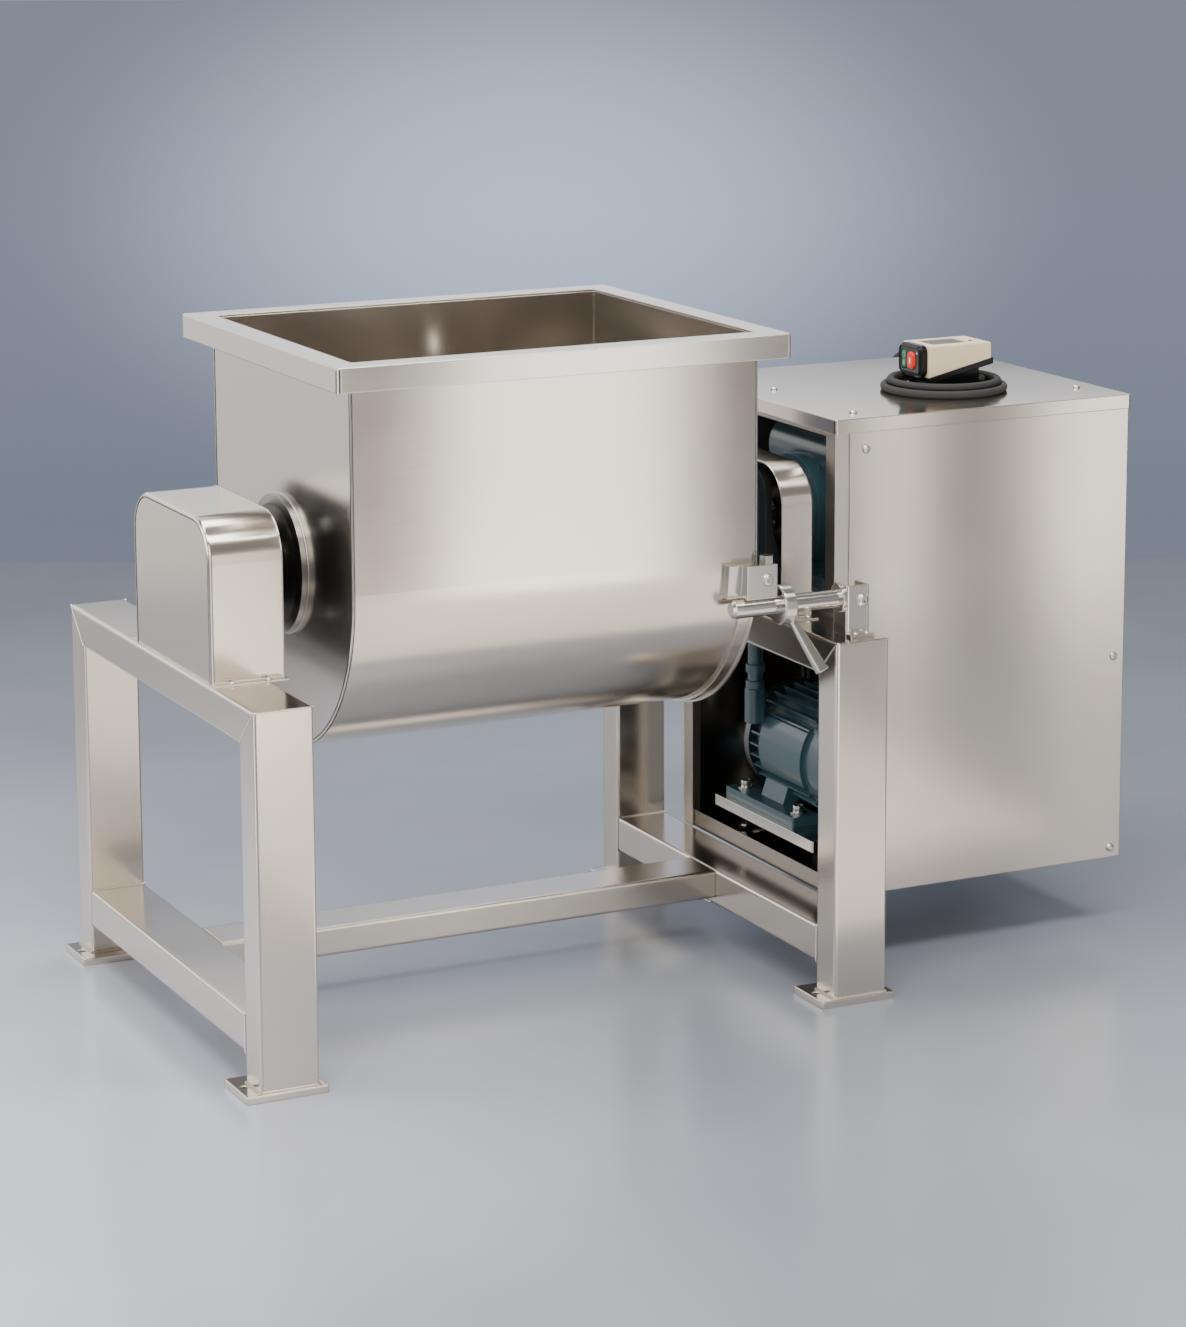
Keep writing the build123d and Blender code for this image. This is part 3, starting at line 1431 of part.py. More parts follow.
cord_radii = bend_radii(cord_points)
print("cord bends, mm:", [round(radius) for radius in cord_radii])
with BuildPart() as cord_lead:
    with BuildLine() as cord_path:
        FilletPolyline(*cord_points, radius=cord_radii)
    with BuildSketch(Plane(origin=cord_points[0], z_dir=cord_points[1] - cord_points[0])):
        Circle(cord_radius)
    sweep(path=cord_path.wire())
    print("cord length, mm:", round(cord_path.wire().length))
    print("cord volume over section and length:",
          round(cord_lead.part.volume / (pi * cord_radius**2 * cord_path.wire().length), 3))
keep(cord_lead, "cord_lead")

# Bolts of the two trough bearings, through the flange and the plate
with BuildPart() as bearing_bolts:
    for plate_x, out in ((left_cover_open_x, 1), (right_plate_x, -1)):
        for level, height, across in (
            (plate_x + out * bearing_flange_thickness, out * bolt_head, bolt_across),
            (plate_x - out * bearing_plate, -out * bolt_nut, bolt_across),
        ):
            with BuildSketch(across_plane(level)):
                with GridLocations(bearing_bolt_pitch, bearing_bolt_pitch, 2, 2):
                    RegularPolygon(across / 2, 6, major_radius=False)
            extrude(amount=height)
        with BuildSketch(across_plane(plate_x - out * bearing_plate)):
            with GridLocations(bearing_bolt_pitch, bearing_bolt_pitch, 2, 2):
                Circle(bolt_shank_radius)
        extrude(amount=out * (bearing_plate + bearing_flange_thickness))
keep(bearing_bolts, "bearing_bolts")
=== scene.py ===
"""Looks of a tilting-trough ribbon blender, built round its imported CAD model.

Every length is in metres, in the row's own frame: X runs along the trough to the drive cabinet,
Y runs away from the operator and Z is up.
"""
from __future__ import annotations

import json
import logging
import math
from dataclasses import dataclass, field
from enum import Enum

import bmesh
import bpy
from mathutils import Matrix, Vector

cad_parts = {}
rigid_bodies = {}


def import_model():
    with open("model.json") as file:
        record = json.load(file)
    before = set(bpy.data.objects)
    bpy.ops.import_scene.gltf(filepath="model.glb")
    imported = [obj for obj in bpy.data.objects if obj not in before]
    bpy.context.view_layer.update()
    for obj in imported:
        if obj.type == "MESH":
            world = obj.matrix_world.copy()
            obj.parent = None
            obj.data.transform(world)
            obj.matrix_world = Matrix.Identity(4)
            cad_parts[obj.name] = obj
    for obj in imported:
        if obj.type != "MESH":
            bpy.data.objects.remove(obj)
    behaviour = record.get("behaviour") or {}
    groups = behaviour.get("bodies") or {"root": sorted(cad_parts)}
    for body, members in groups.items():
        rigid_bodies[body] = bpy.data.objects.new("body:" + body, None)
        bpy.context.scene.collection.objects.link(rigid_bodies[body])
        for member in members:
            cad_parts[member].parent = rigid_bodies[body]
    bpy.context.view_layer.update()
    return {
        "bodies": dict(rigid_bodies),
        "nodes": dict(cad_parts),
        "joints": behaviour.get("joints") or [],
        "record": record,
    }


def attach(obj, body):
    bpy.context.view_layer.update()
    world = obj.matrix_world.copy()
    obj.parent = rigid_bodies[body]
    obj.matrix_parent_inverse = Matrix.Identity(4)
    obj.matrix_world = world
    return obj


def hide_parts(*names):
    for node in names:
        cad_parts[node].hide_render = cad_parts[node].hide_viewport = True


log = logging.getLogger("ribbon_blender")
Pair = tuple[float, float]
Point = tuple[float, float, float]
Color = tuple[float, float, float]
Socket = bpy.types.NodeSocket
PHOTO_HEIGHT = 1327
SHARP_ANGLE = math.radians(35)
MERGE_REACH = 1e-6
SEAM = 0.0011
GROOVE = 0.0006
BUMP_DEPTH = 0.0004
EDGE_SAMPLES = 8


@dataclass
class Tree:
    """Writes the nodes of one node tree.

    Args:
        tree: The tree that is written.
    """

    tree: bpy.types.NodeTree

    def add(self, kind: str, feeds: dict[str | int, object] | None = None,
            **settings: object) -> bpy.types.Node:
        """Add a node.

        Args:
            kind: The node's type name.
            feeds: For an input's name or number, the output that feeds it or its plain value.
            settings: Properties to set on it.

        Returns:
            The new node.
        """
        node = self.tree.nodes.new(kind)
        for name, value in settings.items():
            setattr(node, name, value)
        for key, value in (feeds or {}).items():
            if isinstance(value, Socket):
                self.tree.links.new(value, node.inputs[key])
            else:
                node.inputs[key].default_value = value
        return node

    def math(self, operation: str, *terms: object, **settings: object) -> Socket:
        """Add a Math node.

        Args:
            operation: What it does.
            terms: Its terms in order, each an output or a number.
            settings: Properties to set on it.

        Returns:
            Its result.
        """
        feeds = dict(enumerate(terms))
        return self.add("ShaderNodeMath", feeds, operation=operation, **settings).outputs[0]

    def declare(self, side: str, *sockets: tuple) -> None:
        """Args:
            side: INPUT or OUTPUT.
            sockets: Each socket's name, its kind and, where it has one, its default value.
        """
        for name, kind, *value in sockets:
            item = self.tree.interface.new_socket(name=name, in_out=side,
                                                  socket_type="NodeSocket" + kind)
            if value:
                item.default_value = value[0]

    def ramp(self, source: Socket, stops: tuple[tuple[float, Color], ...]
             ) -> Socket:
        """Add a colour ramp.

        Args:
            source: The value that runs along it.
            stops: Its places and colours.

        Returns:
            Its colour.
        """
        node = self.add("ShaderNodeValToRGB", {"Fac": source})
        elements = node.color_ramp.elements
        elements[0].position = stops[0][0]
        elements[1].position = stops[-1][0]
        for position, _ in stops[1:-1]:
            elements.new(position)
        for element, (_, color) in zip(elements, stops):
            element.color = (*color, 1.0)
        return node.outputs["Color"]

    def soft_spot(self, place: Socket, middle: Point, reach: Point, lift: float
                  ) -> Socket:
        """Factor that rises softly from 1 to a brighter middle.

        Args:
            place: The coordinates.
            middle: Where it is brightest.
            reach: How far it spreads along each axis.
            lift: What it adds in the middle.

        Returns:
            The factor.
        """
        mapping = self.add("ShaderNodeMapping", {"Vector": place, "Location": middle,
                                                 "Scale": reach}, vector_type="TEXTURE")
        ball = self.add("ShaderNodeTexGradient", {"Vector": mapping.outputs["Vector"]},
                        gradient_type="SPHERICAL")
        soft = self.add("ShaderNodeMapRange", {"Value": ball.outputs["Fac"]},
                        interpolation_type="SMOOTHERSTEP")
        return self.math("MULTIPLY_ADD", soft.outputs["Result"], lift, 1.0)


def new_material(name: str) -> tuple[bpy.types.Material, Tree, Socket]:
    """Start a material.

    Args:
        name: Its name.

    Returns:
        The material, its emptied tree and the piece's own coordinates.
    """
    material = bpy.data.materials.new(name)
    material.use_nodes = True
    material.node_tree.nodes.clear()
    tree = Tree(material.node_tree)
    return material, tree, tree.add("ShaderNodeTexCoord").outputs["Object"]


def surface_group() -> bpy.types.NodeTree:
    """Shader group that turns grain, handling marks and a base colour into surface values.

    Returns:
        The group, built once.
    """
    known = bpy.data.node_groups.get("surface_grain")
    if known:
        return known
    group = bpy.data.node_groups.new("surface_grain", "ShaderNodeTree")
    tree = Tree(group)
    tree.declare("INPUT", ("Lines", "Vector"), ("Place", "Vector"), ("Colour", "Color"),
                 ("Contrast", "Float", 0.1), ("Roughness", "Float", 0.4), ("Spread", "Float", 0.1))
    tree.declare("OUTPUT", ("Colour", "Color"), ("Roughness", "Float"), ("Height", "Float"))
    given = tree.add("NodeGroupInput")
    lines, cloud = (
        tree.add("ShaderNodeTexNoise", {"Scale": scale, "Detail": detail,
                                        "Vector": given.outputs[source]}).outputs["Fac"]
        for source, scale, detail in (("Lines", 1.0, 3.0), ("Place", 7.0, 4.0)))
    noise_middle, line_share = 0.5, 0.5
    swing = tree.math("SUBTRACT", lines, noise_middle)
    amount = tree.math("MULTIPLY_ADD", swing, given.outputs["Contrast"], 1.0)
    tint = tree.add("ShaderNodeVectorMath", {0: given.outputs["Colour"], "Scale": amount},
                    operation="SCALE")
    marks = tree.math("SUBTRACT", cloud, noise_middle)
    both = tree.math("MULTIPLY_ADD", swing, line_share, marks)
    rough = tree.math("MULTIPLY_ADD", both, given.outputs["Spread"], given.outputs["Roughness"],
                      use_clamp=True)
    tree.add("NodeGroupOutput", {"Colour": tint.outputs["Vector"], "Roughness": rough,
                                 "Height": lines})
    return group


class Grain(Enum):
    """How a surface was finished: the way that its fine lines run, or the lack of them."""

    BRUSHED_X = (6.0, 700.0, 700.0)
    LEVEL = (6.0, 6.0, 700.0)
    BRUSHED_Y = (700.0, 6.0, 700.0)
    BRUSHED_Z = (700.0, 700.0, 6.0)
    TURNED_X = (1600.0, 30.0, 30.0)
    TURNED_Y = (30.0, 1600.0, 30.0)
    CAST = (420.0, 420.0, 420.0)
    MOULDED = (900.0, 900.0, 900.0)


@dataclass(frozen=True)
class Finish:
    """One finish of the machine and what sets it apart.

    Args:
        name: The material's name.
        color: Its colour, linear.
        roughness: Middle roughness.
        metallic: 1 for bare metal.
        grain: The run of its fine lines.
        contrast: How far the fine lines change the colour.
        spread: How far handling changes the roughness.
        relief: Strength of the fine bump.
        edge: Radius that light finds on a sharp edge, in metres.
        streak: Anisotropy of a brushed metal.
        sweep: The way that its highlights are drawn out.
        coat: Clear coat weight.
        specular: Level of the plain reflection, 0.5 for most paints.
    """

    name: str
    color: Color
    roughness: float
    metallic: float = 0.0
    grain: Grain = Grain.MOULDED
    contrast: float = 0.08
    spread: float = 0.1
    relief: float = 0.15
    edge: float = 0.0012
    streak: float = 0.0
    sweep: Point | None = None
    coat: float = 0.0
    specular: float = 0.5

    def material(self) -> bpy.types.Material:
        """Build the material, or return the one already built.

        Returns:
            The material with its node tree.
        """
        known = bpy.data.materials.get(self.name)
        if known:
            return known
        material, tree, place = new_material(self.name)
        lines = tree.add("ShaderNodeMapping", {"Vector": place, "Scale": self.grain.value})
        surface = tree.add("ShaderNodeGroup", {
            "Lines": lines.outputs["Vector"], "Place": place, "Colour": (*self.color, 1.0),
            "Contrast": self.contrast, "Roughness": self.roughness, "Spread": self.spread,
        }, node_tree=surface_group())
        bevel = tree.add("ShaderNodeBevel", {"Radius": self.edge}, samples=EDGE_SAMPLES)
        bump = tree.add("ShaderNodeBump", {
            "Strength": self.relief, "Distance": BUMP_DEPTH, "Normal": bevel.outputs["Normal"],
            "Height": surface.outputs["Height"]})
        feeds = {
            "Metallic": self.metallic, "Coat Weight": self.coat,
            "Specular IOR Level": self.specular, "Anisotropic": self.streak,
            "Base Color": surface.outputs["Colour"], "Roughness": surface.outputs["Roughness"],
            "Normal": bump.outputs["Normal"]}
        if self.sweep:
            drawn = tree.add("ShaderNodeVectorTransform", {"Vector": self.sweep},
                             vector_type="VECTOR", convert_from="OBJECT", convert_to="WORLD")
            feeds["Tangent"] = drawn.outputs["Vector"]
        shader = tree.add("ShaderNodeBsdfPrincipled", feeds)
        tree.add("ShaderNodeOutputMaterial", {"Surface": shader.outputs["BSDF"]})
        return material


ALONG: Point = (1.0, 0.0, 0.0)
UPRIGHT: Point = (0.0, 0.0, 1.0)
STEEL: Color = (0.68, 0.62, 0.55)

TROUGH_SHEET = Finish("trough_sheet", STEEL, 0.18, 1.0, Grain.BRUSHED_X, 0.07, 0.08, 0.012, 0.0016,
                      0.35, UPRIGHT)
COVER_SHEET = Finish("cover_sheet", STEEL, 0.2, 1.0, Grain.BRUSHED_X, 0.06, 0.06, 0.01, 0.0016,
                     0.5, ALONG)
CABINET_SHEET = Finish("cabinet_sheet", STEEL, 0.19, 1.0, Grain.BRUSHED_Z, 0.06, 0.06, 0.012,
                       0.0016, 0.6, UPRIGHT)
LID_SHEET = Finish("lid_sheet", STEEL, 0.15, 1.0, Grain.LEVEL, 0.05, 0.06, 0.01, 0.0018)
PORTAL_TUBE = Finish("portal_tube", STEEL, 0.2, 1.0, Grain.BRUSHED_Z, 0.08, 0.08, 0.02, 0.0036)
PORTAL_BEAM = Finish("portal_beam", STEEL, 0.19, 1.0, Grain.BRUSHED_Y, 0.08, 0.08, 0.02, 0.0036)
STRETCHER_TUBE = Finish("stretcher_tube", STEEL, 0.24, 1.0, Grain.BRUSHED_X, 0.08, 0.08, 0.02,
                        0.0036)
# Painted shade: the cabinet's inside members, its floor and its bottom rails are darker copies of
# the cabinet's steel, for the shade inside the cabinet.
SHADED_INNER_SHEET = Finish("inner_sheet", (0.52, 0.49, 0.45), 0.42, 1.0, Grain.BRUSHED_Z, 0.1, 0.08,
                     0.03)
SHADED_TRAY_SHEET = Finish("tray_sheet", (0.2, 0.19, 0.175), 0.26, 1.0, Grain.BRUSHED_Y, 0.12, 0.08, 0.03,
                    0.002)
FLANGE_STEEL = Finish("flange_steel", (0.36, 0.34, 0.315), 0.3, 1.0, Grain.TURNED_X, 0.08, 0.06,
                      0.03, 0.0016)
TURNED_STEEL = Finish("turned_steel", (0.62, 0.6, 0.57), 0.15, 1.0, Grain.TURNED_X, 0.08, 0.06,
                      0.03, 0.0012)
TURNED_DRIVE = Finish("turned_drive", (0.46, 0.45, 0.44), 0.3, 1.0, Grain.TURNED_Y, 0.1, 0.08)
MILLED_STEEL = Finish("milled_steel", (0.62, 0.59, 0.55), 0.2, 1.0, Grain.BRUSHED_Y, 0.08, 0.06,
                      0.03, 0.0018)
BRIGHT_BOLT = Finish("bright_bolt", (0.62, 0.61, 0.59), 0.18, 1.0, Grain.TURNED_Y, 0.08, 0.08,
                     0.04, 0.0006)
WELD_METAL = Finish("weld_metal", (0.5, 0.46, 0.41), 0.34, 1.0, Grain.CAST, 0.2, 0.15, 0.15, 0.0003)
TEAL_ENAMEL = Finish("teal_enamel", (0.042, 0.1, 0.13), 0.3, 0.0, Grain.CAST, 0.12, 0.12, 0.14,
                     0.0015, coat=0.3)
BLACK_ENAMEL = Finish("black_enamel", (0.008, 0.008, 0.009), 0.28, 0.0, Grain.CAST, 0.2, 0.12, 0.12)
GREY_ENAMEL = Finish("grey_enamel", (0.04, 0.043, 0.047), 0.36, 0.0, Grain.CAST, 0.15, 0.12, 0.15)
CAST_RING = Finish("cast_ring", (0.16, 0.17, 0.18), 0.3, 1.0, Grain.TURNED_Y, 0.12, 0.12, 0.08)
PULLEY_IRON = Finish("pulley_iron", (0.1, 0.1, 0.105), 0.4, 1.0, Grain.TURNED_Y, 0.2, 0.1)
BRONZE = Finish("bearing_bronze", (0.42, 0.27, 0.12), 0.34, 1.0, Grain.TURNED_X, 0.15, 0.1)
WHITE_BEARING = Finish("white_bearing", (0.72, 0.71, 0.67), 0.42, 0.0, Grain.TURNED_X)
BELT_RUBBER = Finish("belt_rubber", (0.014, 0.014, 0.014), 0.62, 0.0, Grain.CAST, 0.2, 0.15, 0.3)
CORD_RUBBER = Finish("cord_rubber", (0.004, 0.004, 0.0045), 0.11, 0.0, Grain.CAST, 0.2, 0.03, 0.0,
                     specular=0.22)
BEIGE_SHELL = Finish("beige_shell", (0.82, 0.69, 0.45), 0.36, 0.0, Grain.MOULDED, 0.04, 0.06, 0.05,
                     0.002)
BLACK_SHELL = Finish("black_shell", (0.005, 0.005, 0.006), 0.24, 0.0, Grain.MOULDED, 0.2, 0.06,
                     0.04, 0.002, specular=0.28)
GREEN_CAP = Finish("green_cap", (0.012, 0.085, 0.042), 0.34, 0.0, Grain.MOULDED, 0.08, 0.06, 0.04,
                   0.0008, coat=0.2)
GREEN_PLATE = Finish("green_plate", (0.008, 0.04, 0.026), 0.36, 0.0, Grain.MOULDED, 0.1, 0.06, 0.05)
RED_CAP = Finish("red_cap", (0.8, 0.024, 0.01), 0.25, 0.0, Grain.MOULDED, 0.05, 0.05, 0.04,
                 0.0008, coat=0.1, specular=0.3)
WHITE_INK = Finish("white_ink", (0.8, 0.8, 0.78), 0.5)
PALE_INK = Finish("pale_ink", (0.2, 0.42, 0.3), 0.5)
PANEL_GREY = Finish("panel_grey", (0.035, 0.038, 0.04), 0.35)
SEAM_METAL = Finish("seam_metal", (0.7, 0.66, 0.61), 0.2, 1.0, Grain.CAST, 0.08, 0.08, 0.04, 0.0002)
GROOVE_SHADE = Finish("groove_shade", (0.02, 0.019, 0.018), 0.55, 0.0, Grain.CAST, 0.1, 0.1, 0.05,
                      0.0002)
END_SHEET = Finish("end_sheet", (0.6, 0.565, 0.52), 0.22, 1.0, Grain.BRUSHED_Z, 0.06, 0.06, 0.012,
                   0.0012, 0.3, UPRIGHT)
RIM_SHEET = Finish("rim_sheet", (0.68, 0.64, 0.59), 0.18, 1.0, Grain.LEVEL, 0.06, 0.06, 0.012,
                   0.002)

NODE_FINISHES: dict[Finish, tuple[str, ...]] = {
    TROUGH_SHEET: ("trough_wrapper", "quadrant_rail"),
    END_SHEET: ("trough_left_wall", "trough_right_wall"),
    RIM_SHEET: ("trough_rim",),
    FLANGE_STEEL: ("trunnions",),
    COVER_SHEET: ("left_cover", "right_cover"),
    CABINET_SHEET: ("front_panel", "right_panel", "rear_panel"),
    LID_SHEET: ("cabinet_lid",),
    SHADED_INNER_SHEET: ("cabinet_posts", "cabinet_top_rails", "shelf_rails", "gear_shelf"),
    SHADED_TRAY_SHEET: ("cabinet_bottom_rails", "cabinet_floor"),
    PORTAL_TUBE: ("portal_legs",),
    PORTAL_BEAM: ("portal_top_bars", "portal_crossbars", "foot_plates"),
    STRETCHER_TUBE: ("stretcher",),
    TURNED_STEEL: ("agitator_shaft", "latch_bar", "outer_ribbon", "inner_ribbon"),
    TURNED_DRIVE: ("rotor_shaft", "gear_input_shaft"),
    MILLED_STEEL: ("latch_lever", "latch_bracket", "stop_block", "motor_plate"),
    BRIGHT_BOLT: ("stop_bolt", "bearing_bolts", "motor_studs"),
    TEAL_ENAMEL: ("motor_body", "motor_cowl", "gear_housing", "gear_covers",
                  "right_bearing_housing", "terminal_conduit"),
    BLACK_ENAMEL: ("left_bearing_housing",),
    GREY_ENAMEL: ("bearing_brackets",),
    CAST_RING: ("motor_end_ring",),
    PULLEY_IRON: ("motor_pulley", "gear_pulley"),
    BRONZE: ("trunnion_bushes",),
    WHITE_BEARING: ("shaft_bushes",),
    BELT_RUBBER: ("drive_belts",),
    CORD_RUBBER: ("cord_coil", "cord_lead"),
    BEIGE_SHELL: ("pendant_housing",),
    BLACK_SHELL: ("pendant_base", "button_frame", "contact_block", "cord_gland", "motor_fan"),
    GREEN_CAP: ("start_button",),
    RED_CAP: ("stop_button",),
}


def in_scene(name: str, data: object) -> bpy.types.Object:
    """Put a new object in the scene.

    Args:
        name: Its name.
        data: Its mesh, curve, lamp or camera.

    Returns:
        The object.
    """
    thing = bpy.data.objects.new(name, data)
    bpy.context.scene.collection.objects.link(thing)
    return thing


def soften(mesh: bpy.types.Mesh) -> None:
    """Shade a mesh smooth where its faces meet gently."""
    mesh.shade_smooth()
    mesh.set_sharp_from_angle(angle=SHARP_ANGLE)


def mesh_piece(name: str, mesh: bpy.types.Mesh, finish: Finish, body: str,
               smooth: bool = True) -> bpy.types.Object:
    """Put a finished mesh in the scene as a piece that rides on a CAD body.

    Args:
        name: The piece's name.
        mesh: Its mesh, in the row's frame.
        finish: Its finish.
        body: The CAD body that it rides on.
        smooth: Whether its faces are shaded smooth where they meet gently.

    Returns:
        The piece.
    """
    piece = in_scene(name, mesh)
    mesh.materials.clear()
    mesh.materials.append(finish.material())
    if smooth:
        soften(mesh)
    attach(piece, body)
    log.info("piece %s on %s", name, body)
    return piece


def skinned(name: str, rings: list[list[Vector]], hollow: bool = False) -> bpy.types.Mesh:
    """Skin rings of as many points each into a closed mesh with its faces outwards.

    Args:
        name: The mesh's name.
        rings: The rings' points, from first to last.
        hollow: Whether the last ring joins the first, so that no end is closed.

    Returns:
        The mesh.
    """
    build = bmesh.new()
    rows = [[build.verts.new(point) for point in ring] for ring in rings]
    count = len(rows[0])
    for low, high in zip(rows, rows[1:] + rows[:1] if hollow else rows[1:]):
        for i in range(count):
            j = (i + 1) % count
            build.faces.new((low[i], low[j], high[j], high[i]))
    if not hollow:
        build.faces.new(rows[-1])
        build.faces.new(list(reversed(rows[0])))
    bmesh.ops.remove_doubles(build, verts=build.verts, dist=MERGE_REACH)
    bmesh.ops.recalc_face_normals(build, faces=build.faces)
    mesh = bpy.data.meshes.new(name)
    build.to_mesh(mesh)
    build.free()
    return mesh


def settled(piece: bpy.types.Object) -> bpy.types.Mesh:
    """Turn what a piece's modifiers make into a plain mesh, and remove them.

    Args:
        piece: The piece, which keeps its own mesh.

    Returns:
        The plain mesh.
    """
    graph = bpy.context.evaluated_depsgraph_get()
    graph.update()
    mesh = bpy.data.meshes.new_from_object(piece.evaluated_get(graph), depsgraph=graph)
    piece.modifiers.clear()
    return mesh


@dataclass(frozen=True)
class Ring:
    """One ring of a turned or hexagonal template: radius or half width, height, and which."""

    reach: float
    height: float
    hexed: bool = False

    def corner(self, turn: float) -> Vector:
        """Place one of the ring's points.

        Args:
            turn: Where it lies round the ring, in radians.

        Returns:
            The point.
        """
        reach = self.reach
        if self.hexed:
            sixth = math.pi / 3
            reach /= math.cos(turn % sixth - sixth / 2)
        return Vector((reach * math.cos(turn), reach * math.sin(turn), self.height))


class Head(Enum):
    """Fastener heads of the machine, as rings that are scaled by the head's radius."""

    BUTTON = (Ring(1.0, 0.0), Ring(1.0, 0.1), Ring(0.9, 0.36), Ring(0.7, 0.54), Ring(0.5, 0.6),
              Ring(0.4, 0.6, True), Ring(0.4, 0.25, True))
    CAP = (Ring(1.45, 0.0), Ring(1.45, 0.22), Ring(0.98, 0.22), Ring(1.0, 0.28), Ring(1.0, 1.25),
           Ring(0.92, 1.35), Ring(0.68, 1.35), Ring(0.56, 1.3, True), Ring(0.56, 0.75, True))
    HEX = (Ring(1.25, 0.0), Ring(1.25, 0.16), Ring(1.0, 0.16, True), Ring(1.0, 0.78, True),
           Ring(0.88, 0.9))

    def template(self, segments: int = 24) -> bpy.types.Object:
        """Build the head once, standing on its seat with its nose along Z.

        Args:
            segments: Points in each ring, a multiple of six.

        Returns:
            An object that Geometry Nodes copy, removed before the end.
        """
        name = "template_" + self.name.lower()
        known = bpy.data.objects.get(name)
        if known:
            return known
        turns = [2 * math.pi * i / segments for i in range(segments)]
        mesh = skinned(name, [[ring.corner(turn) for turn in turns] for ring in self.value])
        soften(mesh)
        return in_scene(name, mesh)


def fastener_tree() -> bpy.types.NodeTree:
    """Geometry Nodes tree that seats a template on points with a facing and a size.

    Returns:
        The tree, built once, with inputs for the template, the finish and the seed.
    """
    known = bpy.data.node_groups.get("seat_fasteners")
    if known:
        return known
    group = bpy.data.node_groups.new("seat_fasteners", "GeometryNodeTree")
    tree = Tree(group)
    tree.declare("INPUT", ("Geometry", "Geometry"), ("Template", "Object"), ("Finish", "Material"),
                 ("Seed", "Int", 3))
    tree.declare("OUTPUT", ("Geometry", "Geometry"))
    given = tree.add("NodeGroupInput")
    head = tree.add("GeometryNodeObjectInfo", {"Object": given.outputs["Template"]})
    facing = tree.add("GeometryNodeInputNamedAttribute", {"Name": "facing"},
                      data_type="FLOAT_VECTOR")
    size = tree.add("GeometryNodeInputNamedAttribute", {"Name": "size"}, data_type="FLOAT")
    aim = tree.add("FunctionNodeAlignRotationToVector", {"Vector": facing.outputs["Attribute"]},
                   axis="Z")
    spin = tree.add("FunctionNodeRandomValue", {2: 0.0, 3: math.pi, "Seed": given.outputs["Seed"]},
                    data_type="FLOAT")
    about = tree.add("FunctionNodeAxisAngleToRotation", {"Axis": UPRIGHT, "Angle": spin.outputs[1]})
    turn = tree.add("FunctionNodeRotateRotation", {
        "Rotation": aim.outputs["Rotation"], "Rotate By": about.outputs["Rotation"],
    }, rotation_space="LOCAL")
    seat = tree.add("GeometryNodeInstanceOnPoints", {
        "Points": given.outputs["Geometry"], "Instance": head.outputs["Geometry"],
        "Rotation": turn.outputs["Rotation"], "Scale": size.outputs["Attribute"]})
    real = tree.add("GeometryNodeRealizeInstances", {"Geometry": seat.outputs["Instances"]})
    dress = tree.add("GeometryNodeSetMaterial", {
        "Geometry": real.outputs["Geometry"], "Material": given.outputs["Finish"]})
    tree.add("NodeGroupOutput", {"Geometry": dress.outputs["Geometry"]})
    return group


def weld_tree() -> bpy.types.NodeTree:
    """Geometry Nodes tree that lays a rippled weld bead along the edges of a mesh.

    Returns:
        The tree, built once, with inputs for the bead's radius, its ripple and its finish.
    """
    known = bpy.data.node_groups.get("lay_weld")
    if known:
        return known
    ripple_turn, ripple_share, bead_sides = 2.1, 0.12, 8
    group = bpy.data.node_groups.new("lay_weld", "GeometryNodeTree")
    tree = Tree(group)
    tree.declare("INPUT", ("Geometry", "Geometry"), ("Radius", "Float", 0.002),
                 ("Ripple", "Float", 0.0025), ("Finish", "Material"))
    tree.declare("OUTPUT", ("Geometry", "Geometry"))
    given = tree.add("NodeGroupInput")
    path = tree.add("GeometryNodeMeshToCurve", {"Mesh": given.outputs["Geometry"]})
    steps = tree.add("GeometryNodeResampleCurve", {
        "Curve": path.outputs["Curve"], "Length": given.outputs["Ripple"]}, mode="LENGTH")
    index = tree.add("GeometryNodeInputIndex")
    wave = tree.math("SINE", tree.math("MULTIPLY", index.outputs["Index"], ripple_turn))
    swell = tree.math("MULTIPLY_ADD", wave, ripple_share, 1.0)
    radius = tree.math("MULTIPLY", swell, given.outputs["Radius"])
    ring = tree.add("GeometryNodeCurvePrimitiveCircle", {"Resolution": bead_sides, "Radius": 1.0})
    skin = tree.add("GeometryNodeCurveToMesh", {
        "Fill Caps": True, "Curve": steps.outputs["Curve"],
        "Profile Curve": ring.outputs["Curve"], "Scale": radius})
    dress = tree.add("GeometryNodeSetMaterial", {
        "Geometry": skin.outputs["Mesh"], "Material": given.outputs["Finish"]})
    tree.add("NodeGroupOutput", {"Geometry": dress.outputs["Geometry"]})
    return group


def grown(base: bpy.types.Mesh, tree: bpy.types.NodeTree, values: dict[str, object]
          ) -> bpy.types.Mesh:
    """Run a Geometry Nodes tree on a mesh and keep the plain result.

    Args:
        base: The mesh that the tree starts from.
        tree: The tree.
        values: The tree's inputs by name.

    Returns:
        The new mesh.
    """
    seed = in_scene("grown_" + base.name, base)
    growth = seed.modifiers.new("growth", "NODES")
    growth.node_group = tree
    for item in tree.interface.items_tree:
        if item.item_type == "SOCKET" and item.in_out == "INPUT" and item.name in values:
            growth[item.identifier] = values[item.name]
    mesh = settled(seed)
    bpy.data.objects.remove(seed)
    return mesh


